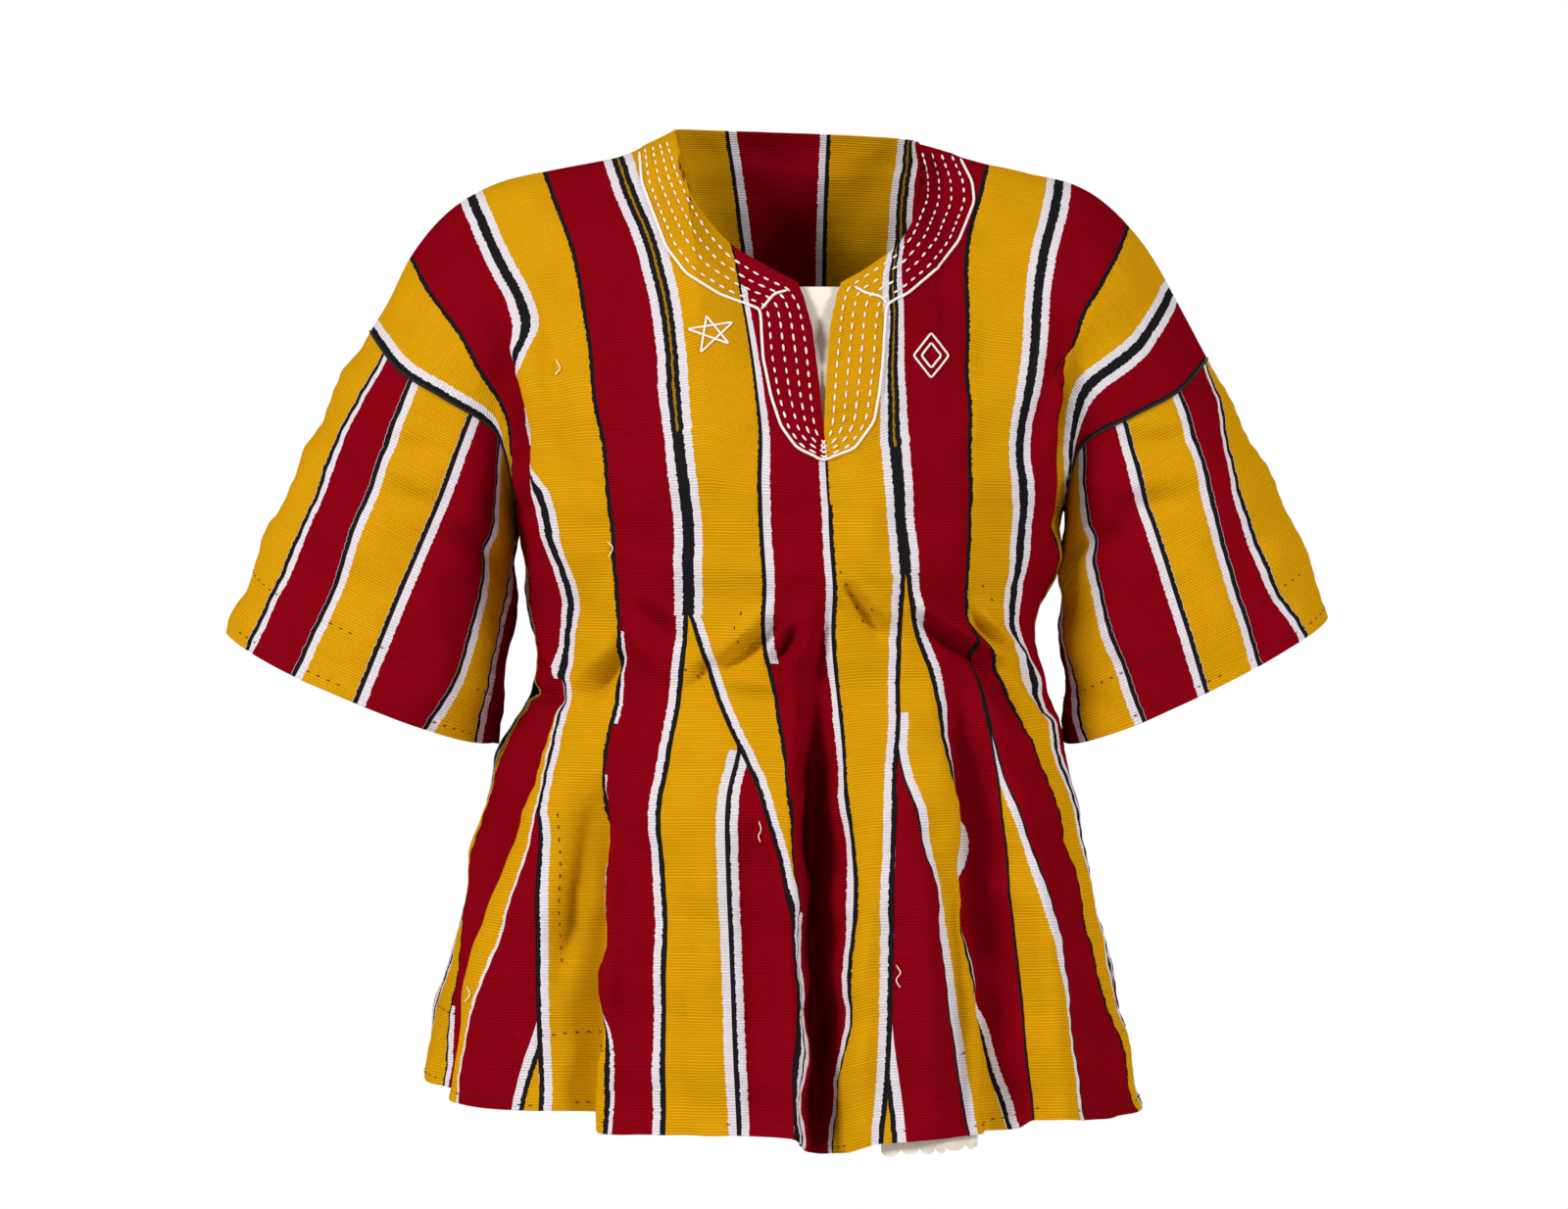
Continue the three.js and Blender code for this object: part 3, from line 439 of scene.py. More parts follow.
# The back is never seen from the front: (height, turn) from the armpits down, or from the chest.
BACK_SEAMS = {
    "seam_1": [(-232, -84), (-350, -84), (-450, -83), (-630, -82)],
    "gore_1_left": [(-232, -64), (-338, -64), (-400, -68), (-450, -71), (-530, -73), (-630, -75)],
    "gore_1_middle": [(-400, -65), (-450, -64), (-530, -63), (-630, -62)],
    "gore_1_right": [(-400, -60), (-450, -57), (-530, -53), (-630, -50)],
    "gore_1_corner": [(-641, -50)],
    "seam_3": [(-232, -48), (-350, -47), (-450, -46), (-630, -44)],
    "gore_2_left": [(-232, -31), (-316, -31), (-400, -33), (-450, -35), (-530, -36), (-630, -37)],
    "gore_2_middle": [(-400, -30), (-450, -28), (-530, -26), (-630, -25)],
    "gore_2_right": [(-400, -26), (-450, -22), (-530, -17), (-630, -13)],
    "seam_5": [(-120, -9), (-232, -10), (-350, -10), (-450, -8), (-630, -5)],
    "seam_6": [(-120, 11), (-232, 10), (-350, 8), (-450, 6), (-630, 4)],
    "gore_3_left": [(-120, 32), (-310, 32), (-400, 27), (-450, 22), (-530, 16), (-630, 12)],
    "gore_3_corner": [(-641, 12)],
    "gore_3_middle": [(-400, 31), (-450, 30), (-530, 28), (-630, 27)],
    "gore_3_right": [(-400, 35), (-450, 38), (-530, 40), (-630, 41)],
    "gore_4_left": [(-232, 51), (-334, 51), (-450, 52), (-630, 52)],
    "gore_4_middle": [(-400, 54), (-450, 58), (-530, 60), (-630, 62)],
    "gore_4_right": [(-400, 58), (-450, 64), (-530, 69), (-630, 73)],
    "seam_9": [(-232, 61), (-350, 66), (-450, 74), (-530, 79), (-630, 82)],
    "seam_10": [(-232, 75), (-350, 82), (-450, 87), (-520, 90), (-630, 90)],
    "seam_11": [(-232, 85), (-290, 89), (-330, 90), (-630, 90)],
}
# The height at which the middle and right seams of a gore leave its left one, and the turns at which
# the back's middle seams start at the neck. The others start where the front's do.
BACK_TIPS = {"gore_1": -338, "gore_2": -316, "gore_3": -310, "gore_4": -334}
BACK_STARTS = {"seam_5": -4, "seam_6": 14, "gore_3_left": 34}
BACK_PARENTS = {"gore_1_corner": ("gore_1_right", -640), "gore_3_corner": ("gore_3_left", -640)}
for gore, tip in BACK_TIPS.items():
    BACK_PARENTS[f"{gore}_middle"] = BACK_PARENTS[f"{gore}_right"] = (f"{gore}_left", tip)

YOKE_ROWS = 86
SKIRT_ROWS = 130
SKIRT_LENGTH = 400
SEAM_SMOOTHING = 3  # rows
SEAM_6_FREE_ROW = 1.25  # between the slit's foot and this row, seam_6 bends off the slit's line
rows = np.concatenate([np.linspace(0, 1, YOKE_ROWS + 1), np.linspace(1, 2, SKIRT_ROWS + 1)[1:]])


def drawn(points):
    """Where points in millimetres come in the drawing."""
    points = np.asarray(points)
    scale = UNITS_PER_MM * -EYE[1] / (points[..., 1] - EYE[1])
    x = DRAWING_MIDDLE[0] + (points[..., 0] - EYE[0]) * scale
    y = DRAWING_MIDDLE[1] - (points[..., 2] - EYE[2]) * scale
    return np.stack([x, y], -1)


sample_turns = np.linspace(-90, 90, 721)
sample_rows = np.linspace(0, 2, 601)
sample_turn, sample_row = (a.ravel() for a in np.meshgrid(sample_turns, sample_rows))
sample_drawn = drawn(face_point("front", sample_turn, sample_row, np.where(sample_turn < SLIT_TURN, -1, 1)))


def place_of(x, y):
    """(row, turn) of a drawn point on the front."""
    nearest = np.argmin((sample_drawn[:, 0] - x) ** 2 + (sample_drawn[:, 1] - y) ** 2)
    return sample_row[nearest], sample_turn[nearest]


def row_at(face, turn, height):
    if height > ARMPIT_HEIGHT:
        top = float(top_of(face, np.float64(turn), np.float64(-1 if turn < SLIT_TURN else 1))[1])
        return (top - height) / (top - ARMPIT_HEIGHT)
    return 1 + (ARMPIT_HEIGHT - height) / (ARMPIT_HEIGHT - float(hem_of[face](turn)))


def smoothed(values):
    offsets = np.arange(-3 * SEAM_SMOOTHING, 3 * SEAM_SMOOTHING + 1)
    weights = np.exp(-((offsets / SEAM_SMOOTHING) ** 2) / 2)
    padded = np.pad(values, 3 * SEAM_SMOOTHING, mode="reflect", reflect_type="odd")
    return np.convolve(padded, weights / weights.sum(), mode="valid")


def seam_turns(places, parents):
    """The turn of every seam at every row, and the row at which each leaves its parent. places
    holds the (row, turn) pairs that each seam goes through."""
    turns, leaves = {}, {}
    waiting = list(places)
    while waiting:
        name = waiting.pop(0)
        parent, tip = parents.get(name, (None, 0))
        if parent and parent not in turns:
            waiting.append(name)
            continue
        known = places[name]
        if parent:
            at = float(np.interp(tip, [ARMPIT_HEIGHT - SKIRT_LENGTH, ARMPIT_HEIGHT], [2, 1]))
            leaves[name] = at
            known = [pair for pair in known if pair[0] >= at]
            known.append((at, float(np.interp(at, rows, turns[parent]))))
        known.sort()
        line = smoothed(np.interp(rows, [row for row, _ in known], [turn for _, turn in known]))
        turns[name] = np.where(rows <= at, turns[parent], line) if parent else line
    return turns, leaves


front_places, front_parents, back_places = {}, {}, {}
for name, (parent, points, fixed) in FRONT_SEAMS.items():
    front_places[name] = [place_of(x, y) for x, y in points]
    front_places[name] += [(row_at("front", turn, height), turn) for height, turn in fixed]
    if parent:
        front_parents[name] = parent
front_turns, front_leaves = seam_turns(front_places, front_parents)
for name, fixed in BACK_SEAMS.items():
    back_places[name] = [(row_at("back", turn, height), turn) for height, turn in fixed]
    if name not in BACK_PARENTS:
        back_places[name].append((0.0, BACK_STARTS.get(name, front_turns[name][0])))
back_turns, back_leaves = seam_turns(back_places, BACK_PARENTS)
slit_end = row_at("front", SLIT_TURN, SLIT[-1][0])
below_slit = np.clip((rows - slit_end) / (SEAM_6_FREE_ROW - slit_end), 0, 1)
front_turns["seam_6"] = lerp(SLIT_TURN, front_turns["seam_6"], below_slit)
print("seams on each face:", len(front_turns))
print("turns at the hem:", {name: round(float(line[-1])) for name, line in front_turns.items()})

# %% [markdown]
# ## Bands
#
# The cloth between two seams is a band of one colour. Beside a seam run its woven lines: nothing, a
# black line, a white one, or both. A line is told by where black begins and ends and where the
# white ends, in millimetres from the seam; what lies before black begins is golden.

# %%
LINES = {
    "plain": (0, 0, 0),
    "black": (0, 1.5, 1.5),
    "bold": (0, 2.9, 2.9),
    "white": (0, 0, 5.2),
    "thin": (0, 0, 4.2),
    "hair": (0, 0, 1.6),
    "slim": (0, 1.8, 4.4),
    "edged": (0, 3.1, 8.2),
    "border": (0, 3.2, 8.0),
    "cuffed": (0, 3.2, 3.4),
    "parted": (0.8, 4.2, 9.6),
    "double": (0, 3.7, 9.0),
    "turned": (5.4, 8.8, 0),
}
# How a line changes down its seam: names, and between them the rows, or the gores' tips, at which
# one gives way to the next. On the front, the neck's band and the placket cover some lines, and
# folds hide others.
BESIDE_GORE_2 = ["parted", 0.8, "double", "gore_2", "border"]
BESIDE_GORE_3 = ["parted", 0.8, "double", "gore_3", "border"]
FOLDED_EDGE = ["black", 1.21, "slim", 1.36, "black", 1.45, "slim"]
UNDER_PLEAT = ["plain", 0.17, "white", 1.25, "plain", 1.64, "white"]
BELOW_SLIT = ["plain", 0.8, "thin"]
BESIDE_SLIT = ["plain", 0.8, "black", 1.0, "bold"]
BELOW_TIP_2 = ["plain", 1.39, "white"]
BELOW_TIP_3 = ["plain", 1.33, "white"]
FINER = {"front": 1.7, "back": 1.0}
# piece, colour, columns, seam on its left, seam on its right, line at the left, line at the right
BANDS = [
    ("panel", "golden", 6, "side_left", "seam_1", "edged", "black"),
    ("panel", "crimson", 8, "seam_1", "gore_1_left", ["black", 1.86, "white"], ["edged", "gore_1", "plain"]),
    ("gore_1", "golden", 8, "gore_1_left", "gore_1_middle", "plain", "hair"),
    ("gore_1", "crimson", 8, "gore_1_middle", "gore_1_corner", "plain", "plain"),
    ("gore_1", "golden", 4, "gore_1_corner", "gore_1_right", "turned", "plain"),
    ("panel", "golden", 10, "gore_1_right", "seam_3", "edged", "black"),
    ("panel", "crimson", 10, "seam_3", "gore_2_left", FOLDED_EDGE, BESIDE_GORE_2),
    ("gore_2", "golden", 10, "gore_2_left", "gore_2_middle", "plain", BELOW_TIP_2),
    ("gore_2", "crimson", 12, "gore_2_middle", "gore_2_right", "border", "plain"),
    ("panel", "golden", 10, "gore_2_right", "seam_5", BESIDE_GORE_2, "bold"),
    ("panel", "crimson", 12, "seam_5", "seam_6", UNDER_PLEAT, BELOW_SLIT),
    ("panel", "golden", 12, "seam_6", "gore_3_left", BESIDE_SLIT, BESIDE_GORE_3),
    ("gore_3", "golden", 4, "gore_3_left", "gore_3_corner", "plain", "turned"),
    ("gore_3", "crimson", 12, "gore_3_corner", "gore_3_middle", "plain", "black"),
    ("gore_3", "golden", 10, "gore_3_middle", "gore_3_right", BELOW_TIP_3, "plain"),
    ("panel", "crimson", 14, "gore_3_right", "gore_4_left", BESIDE_GORE_3, "black"),
    ("gore_4", "golden", 10, "gore_4_left", "gore_4_middle", "plain", "white"),
    ("gore_4", "crimson", 12, "gore_4_middle", "gore_4_right", "black", "plain"),
    ("panel", "golden", 12, "gore_4_right", "seam_9", "black", "edged"),
    ("panel", "crimson", 10, "seam_9", "seam_10", "edged", "black"),
    ("panel", "golden", 8, "seam_10", "seam_11", "black", "edged"),
    ("panel", "crimson", 6, "seam_11", "side_right", "edged", "black"),
]
RED = {"golden": 0.0, "crimson": 1.0}
SLIVER = 0.02  # a cell with less area than half of this, in square millimetres, is left out


def run_of(points):
    """How far along a line of points each of them lies."""
    return np.concatenate([[0], np.cumsum(np.linalg.norm(np.diff(points, axis=0), axis=1))])


def corners_of(grid):
    """The four corner values of every cell of a grid, in order round the cell."""
    corners = [grid[:-1, :-1], grid[1:, :-1], grid[1:, 1:], grid[:-1, 1:]]
    return np.stack(corners, axis=2).reshape(-1, 4, grid.shape[-1])


def diagonal_cross(a, b, c, d):
    """The cross product of each cell's diagonals: it faces out and is twice the cell's area long."""
    return np.cross(c - a, d - b)


def band_cells(point_at, left, right, count, along_rows, is_reversed):
    """The cells of a band: for each corner its point, the distances from the left and right seam
    and along the band, and its turn and row."""
    share = np.arange(count + 1) / count
    across = lerp(left[:, None], right[:, None], share)
    points = point_at(across, along_rows[:, None])
    widths = np.linalg.norm(np.diff(points, axis=1), axis=2)
    from_left = np.concatenate([np.zeros((len(along_rows), 1)), np.cumsum(widths, axis=1)], axis=1)
    along = np.broadcast_to(run_of(points[:, count // 2])[:, None], from_left.shape)
    facts = np.stack([from_left, from_left[:, -1:] - from_left, along], -1)
    place = np.stack([across, np.broadcast_to(along_rows[:, None], across.shape)], -1)
    step = -1 if is_reversed else 1
    return [corners_of(grid)[:, ::step] for grid in (points, facts, place)]


def no_cells():
    return {key: [] for key in ("points", "facts", "place", "left", "right", "red", "piece")}


def add_band(cells, band, left, right, colour, piece):
    """Adds a band with its lines' numbers, its colour and the name of its piece."""
    for key, values in zip(("points", "facts", "place", "left", "right"), (*band, left, right)):
        cells[key].append(values)
    cells["red"].append(np.full(len(left), RED[colour]))
    cells["piece"] += [piece] * len(left)


def line_values(face, line, row_of_cell, leaves):
    """The line's three numbers for every cell. Nothing covers a line on the back."""
    steps = [line] if isinstance(line, str) else line
    if face == "back" and steps[0] in ("plain", "black"):
        steps = steps[-1:] if steps[0] == "plain" else steps[:1]
    values = np.tile(np.array(LINES[steps[0]], float), (len(row_of_cell), 1))
    for change, name in zip(steps[1::2], steps[2::2]):
        row = leaves[change + "_right"] if isinstance(change, str) else change
        values[row_of_cell > row] = LINES[name]
    return values


def gather(face, seams, leaves):
    """All the cells of one face as flat arrays."""
    side_lines = {"side_left": np.full_like(rows, -90), "side_right": np.full_like(rows, 90)}
    lines = {**side_lines, **seams}
    order = ["side_left"] + [band[4] for band in BANDS]
    for before, name in zip(order, order[1:]):
        lines[name] = np.maximum(lines[name], lines[before])
    cells = no_cells()
    for piece, colour, count, left, right, *edge_lines in BANDS:
        side = -1 if right in order[: order.index("seam_6") + 1] else 1
        at = lambda across, row: face_point(face, across, row, side)
        columns = round(count * FINER[face])
        band = band_cells(at, lines[left], lines[right], columns, rows, face == "back")
        solid = np.linalg.norm(diagonal_cross(*band[0].transpose(1, 0, 2)), axis=1) >= SLIVER
        band = [values[solid] for values in band]
        middle_row = band[2][:, :, 1].mean(axis=1)
        line_numbers = [line_values(face, line, middle_row, leaves) for line in edge_lines]
        add_band(cells, band, *line_numbers, colour, f"{face}_{piece}")
    return cells


def joined(parts):
    return {
        key: np.array(sum((part[key] for part in parts), []))
        if key == "piece"
        else np.concatenate([array for part in parts for array in part[key]])
        for key in parts[0]
    }


body = joined([gather("front", front_turns, front_leaves), gather("back", back_turns, back_leaves)])
print("body cells:", len(body["piece"]))

# %% [markdown]
# ## Sleeves
#
# A sleeve has six bands on each half. The front half's seams are drawn in the same way as the
# body's, from the armhole to the cuff. The back half's seams run straight down.

# %%
SLEEVE_SEAMS = {
    -1: [
        [(397, 357), (325, 500), (280, 600), (252, 660)],
        [(423, 385), (380, 500), (341, 600), (299, 692)],
        [(483, 424), (455, 500), (413, 600), (361, 727)],
        [(516, 446), (506, 520), (496, 600), (466, 690), (433, 757)],
        [(529, 560), (517, 620), (500, 700), (489, 766)],
    ],
    1: [
        [(1231, 372), (1260, 500), (1298, 600), (1327, 640)],
        [(1199, 397), (1230, 500), (1259, 600), (1286, 686)],
        [(1146, 431), (1163, 500), (1197, 600), (1233, 717)],
        [(1102, 452), (1107, 510), (1119, 600), (1167, 743)],
        [(1074, 560), (1082, 620), (1096, 700), (1109, 757)],
    ],
}
SLEEVE_BANDS = 6
SLEEVE_COLOURS = ["golden", "crimson"] * 3 + ["crimson", "golden"] * 3
SLEEVE_BACK = [1.0, 1.1, 1.3, 1.5, 1.68, 1.86, 2.0]
NARROWEST_BAND = 0.01
LAST_FRONT_SEAM = 0.995
SLEEVE_ROWS = 70
SLEEVE_COLUMNS = 9
SLEEVE_SAMPLES = np.linspace(0, 1, 241)
sleeve_rows = np.linspace(0, 1, SLEEVE_ROWS + 1)


def sleeve_seam(side, points):
    """How far around each sleeve seam lies at every row."""
    around, along = (a.ravel() for a in np.meshgrid(SLEEVE_SAMPLES, SLEEVE_SAMPLES))
    views = drawn(sleeve_point(side, around, along))
    known = []
    for x, y in points:
        nearest = np.argmin((views[:, 0] - x) ** 2 + (views[:, 1] - y) ** 2)
        known.append((along[nearest], around[nearest]))
    known.sort()
    return smoothed(np.interp(sleeve_rows, [k[0] for k in known], [k[1] for k in known]))


def gather_sleeve(side, name):
    """All the cells of a sleeve. Half a band at each end of a half, so two meet without a line."""
    lines = [np.zeros_like(sleeve_rows)]
    for points in SLEEVE_SEAMS[side]:
        lines.append(np.clip(sleeve_seam(side, points), lines[-1] + NARROWEST_BAND, LAST_FRONT_SEAM))
    lines += [np.full_like(sleeve_rows, value) for value in SLEEVE_BACK]
    at = lambda around, along: sleeve_point(side, around, along)
    cells = no_cells()
    for index, colour in enumerate(SLEEVE_COLOURS):
        band = band_cells(at, lines[index], lines[index + 1], SLEEVE_COLUMNS, sleeve_rows, side > 0)
        in_half = index % SLEEVE_BANDS
        left_line = "plain" if in_half == 0 else "white"
        edge_lines = left_line, "plain" if in_half == SLEEVE_BANDS - 1 else "cuffed"
        line_numbers = [np.tile(np.array(LINES[line], float), (len(band[0]), 1)) for line in edge_lines]
        add_band(cells, band, *line_numbers, colour, name)
    return joined([cells])


sleeves = {name: gather_sleeve(side, name) for side, name in ((-1, "sleeve_left"), (1, "sleeve_right"))}
print("sleeve cells:", {name: len(cells["piece"]) for name, cells in sleeves.items()})

# %% [markdown]
# ## Creases and softness
#
# The big folds are in the form. Small ones are listed one by one: each crease is a line in the
# drawing, with a depth and a width. On top of them the cloth is a little uneven all over, and it
# dips and puckers where two strips are sewn together.

# %%
# from x, from y, to x, to y, depth (- is a trough), half-width
CREASES = [
    (743, 680, 786, 643, -5.0, 4.5),
    (736, 664, 778, 628, 3.4, 6),
    (752, 694, 800, 700, 4.0, 7),
    (792, 673, 816, 646, -5.0, 4.5),
    (803, 690, 818, 654, 3.4, 5),
    (826, 616, 822, 668, 3.0, 7),
    (843, 630, 832, 690, -3.6, 5),
    (600, 709, 632, 672, -4.6, 4.5),
    (590, 694, 620, 660, 3.0, 6),
    (541, 704, 571, 713, -3.4, 4),
    (556, 660, 572, 690, 2.6, 4),
    (704, 699, 722, 680, -3.4, 4),
    (866, 604, 897, 645, -4.2, 4.5),
    (872, 596, 906, 630, 2.8, 5),
    (853, 600, 880, 626, 2.4, 5),
    (942, 618, 1014, 668, 5.0, 6),
    (948, 640, 1008, 682, -5.0, 5),
    (1014, 668, 1062, 736, 4.0, 7),
    (1010, 690, 1048, 740, -4.0, 6),
    (1008, 632, 1050, 694, 3.8, 5),
    (998, 634, 1026, 666, -4.6, 4),
    (1030, 676, 1062, 726, -3.4, 4.5),
    (655, 622, 690, 652, -3.0, 5),
    (640, 640, 668, 680, 2.4, 6),
    (600, 840, 574, 1000, -4.0, 8),
    (640, 860, 636, 1120, -3.0, 9),
    (716, 850, 700, 1140, 3.0, 14),
    (768, 860, 776, 1140, -3.0, 10),
    (888, 860, 880, 1150, 3.0, 10),
    (944, 900, 948, 1140, 3.0, 10),
    (970, 880, 982, 1140, -2.6, 8),
    (1062, 880, 1082, 1130, 3.2, 11),
    (1118, 980, 1134, 1120, -3.0, 9),
    (498, 940, 482, 1110, 3.0, 10),
    (1090, 330, 1050, 470, -2.4, 9),
    (560, 330, 575, 500, -2.4, 9),
    (620, 250, 600, 420, 1.6, 14),
    (700, 480, 715, 600, -1.6, 12),
    (1020, 480, 1010, 600, -1.6, 12),
    (880, 470, 890, 590, 1.4, 12),
]
SLEEVE_CREASES = [
    (398, 452, 446, 462, -2.6, 8),
    (402, 500, 446, 522, -3.0, 8),
    (452, 542, 505, 566, -3.0, 8),
    (360, 540, 402, 600, 2.0, 12),
    (300, 560, 340, 640, -2.0, 12),
    (440, 610, 462, 740, 2.0, 12),
    (1158, 452, 1210, 448, -2.6, 8),
    (1150, 520, 1200, 508, -3.0, 8),
    (1095, 560, 1150, 540, -3.0, 8),
    (1220, 560, 1260, 660, 2.0, 12),
    (1160, 610, 1190, 730, -2.0, 12),
]
CREASE_STRENGTH = 2.1
UNEVEN_WAVES = [(95, 1.6), (52, 1.1), (27, 0.5)]  # wavelength, height
SEAM_DIP = 0.7
SEAM_DIP_WIDTH = 2.6
PUCKER = 0.35
PUCKER_LENGTH = 13
PUCKER_WIDTH = 9
PUCKER_SLANT = 0.05
WAVES_OF_A_LENGTH = 5
SAME_PLACE = 0.004  # corner points in the same box of this size are one
BOX_START = 0.37
CREASE_TAPER = 1.6
ARMHOLE_CALM = 7
HEM_SIDE_CALM = 0.1
TOP_CALM = 0.04
TOP_SHARE = 0.15
SLEEVE_CALM = 0.12
rng = np.random.default_rng(7)
waves = []
for wavelength, size in UNEVEN_WAVES:
    for _ in range(WAVES_OF_A_LENGTH):
        direction = rng.normal(size=3)
        direction = direction / np.linalg.norm(direction)
        waves.append((direction * 2 * np.pi / wavelength, rng.uniform(0, 6.3), size / 2))


def weld(cells):
    """Adds the shared corner points, each cell's corners as numbers of them, and what is known of
    each point: how far it is from the nearest seam and along its band, and its turn and row."""
    flat = cells["points"].reshape(-1, 3)
    keys = np.floor(flat / SAME_PLACE + BOX_START).astype(np.int64)
    _, first, ids = np.unique(keys, axis=0, return_index=True, return_inverse=True)
    cells["vertices"] = flat[first]
    cells["quads"] = ids.reshape(-1, 4)
    least = np.full(len(first), np.inf)
    np.minimum.at(least, cells["quads"].ravel(), cells["facts"][..., :2].min(axis=2).ravel())
    cells["from_seam"] = least
    cells["along"] = cells["facts"].reshape(-1, 3)[first, 2]
    cells["at"] = cells["place"].reshape(-1, 2)[first]


def facing(vertices, quads):
    """Which way the cloth faces at each corner point."""
    normal = diagonal_cross(*vertices[quads.T])
    sums = np.zeros_like(vertices)
    for k in range(4):
        np.add.at(sums, quads[:, k], normal)
    return sums / np.maximum(np.linalg.norm(sums, axis=1, keepdims=True), 1e-9)


def crease_height(vertices, creases):
    """How far the creases move each point out. They are on the front only."""
    views = drawn(vertices)
    total = np.zeros(len(vertices))
    for x0, y0, x1, y1, size, width in creases:
        start, end = np.array([x0, y0], float), np.array([x1, y1], float)
        along = end - start
        length = np.linalg.norm(along)
        relative = views - start
        t = relative @ along / length**2
        aside = (relative @ np.array([-along[1], along[0]])) / length / UNITS_PER_MM
        over = np.maximum(np.maximum(-t, t - 1), 0) * length / UNITS_PER_MM
        taper = np.exp(-((over / (CREASE_TAPER * width)) ** 2))
        taper = taper * np.clip(1.15 - 1.1 * np.abs(t - 0.5), 0, 1)  # full in the middle
        total += size * taper * np.exp(-((aside / width) ** 2))
    return np.where(vertices[:, 1] < 0, CREASE_STRENGTH * total, 0)


def soften(cells, creases, hold):
    """Moves the corner points out and in along their facing, by as much as hold lets each move."""
    vertices = cells["vertices"]
    normals = facing(vertices, cells["quads"])
    height = crease_height(vertices, creases)
    for wave, phase, size in waves:
        height += size * np.sin(vertices @ wave + phase)
    height -= SEAM_DIP * np.exp(-((cells["from_seam"] / SEAM_DIP_WIDTH) ** 2))
    pucker = np.sin(cells["along"] * 2 * np.pi / PUCKER_LENGTH + PUCKER_SLANT * vertices[:, 0])
    height += PUCKER * pucker * np.exp(-((cells["from_seam"] / PUCKER_WIDTH) ** 2))
    cells["vertices"] = vertices + normals * (height * hold)[:, None]
    cells["normals"] = facing(cells["vertices"], cells["quads"])


weld(body)
turn_of, row_of = body["at"].T
by_armhole = np.clip((90 - np.abs(turn_of)) / ARMHOLE_CALM, 0, 1)
by_side_seam = np.clip((row_of - 1) / HEM_SIDE_CALM, 0, 1)
soften(body, CREASES, np.maximum(by_armhole, by_side_seam) * np.clip(row_of / TOP_CALM, TOP_SHARE, 1))
for cells in sleeves.values():
    weld(cells)
    soften(cells, SLEEVE_CREASES, np.clip(cells["at"][:, 1] / SLEEVE_CALM, 0, 1))
print("corner points:", [len(cells["vertices"]) for cells in (body, *sleeves.values())])

# %% [markdown]
# ## The raised band and placket
#
# Round the neck and the slit the cloth is doubled and quilted, so it stands a little proud.

# %%
BAND_RAISE = 0.9
BAND_WIDTH = 26
BAND_EDGE = 3
PLACKET_HALF = 39
PLACKET_STRAIGHT = -172
PLACKET_FOOT = -203
FACE_OVERLAP = 2
neck_turns = np.linspace(*NECK_TURNS, 60)
neck_sides = np.where(neck_turns < SLIT_TURN, -1, 1)
neck_edges = {face: face_point(face, neck_turns, 0.0, neck_sides) for face in OUT}


def smooth_step(x):
    t = np.clip(x, 0, 1)
    return t * t * (3 - 2 * t)


points = body["vertices"]
raise_by = np.zeros(len(points))
for face, edge in neck_edges.items():
    away = np.linalg.norm(points[:, None] - edge[None], axis=2).min(axis=1)
    on_face = points[:, 1] * OUT[face] > -FACE_OVERLAP
    raise_by = np.maximum(raise_by, np.where(on_face, smooth_step((BAND_WIDTH - away) / BAND_EDGE), 0))
slit_middle = slit_edge(points[:, 2], 0)
round_end = np.clip((PLACKET_STRAIGHT - points[:, 2]) / (PLACKET_STRAIGHT - PLACKET_FOOT), 0, 1)
reach = PLACKET_HALF * np.sqrt(1 - round_end**2)
in_placket = smooth_step((reach - np.abs(points[:, 0] - slit_middle)) / BAND_EDGE)
in_placket = np.where((points[:, 1] < 0) & (points[:, 2] > PLACKET_FOOT), in_placket, 0)
raise_by = np.maximum(raise_by, in_placket)
body["vertices"] = points + body["normals"] * (BAND_RAISE * raise_by)[:, None]
body["normals"] = facing(body["vertices"], body["quads"])
print("raised corner points:", int((raise_by > 0.5).sum()))

# %% [markdown]
# ## Building the shells
#
# A shell is the outer skin, the inner skin a wall's thickness behind it, and a rim round its open
# edges. Its edges are drawn back by half the seam gap, so that neighbours never touch.


# %%
def unit(vectors):
    return vectors / np.maximum(np.linalg.norm(vectors, axis=-1, keepdims=True), 1e-9)


def add_object(name, data):
    made = bpy.data.objects.new(name, data)
    bpy.context.scene.collection.objects.link(made)
    return made


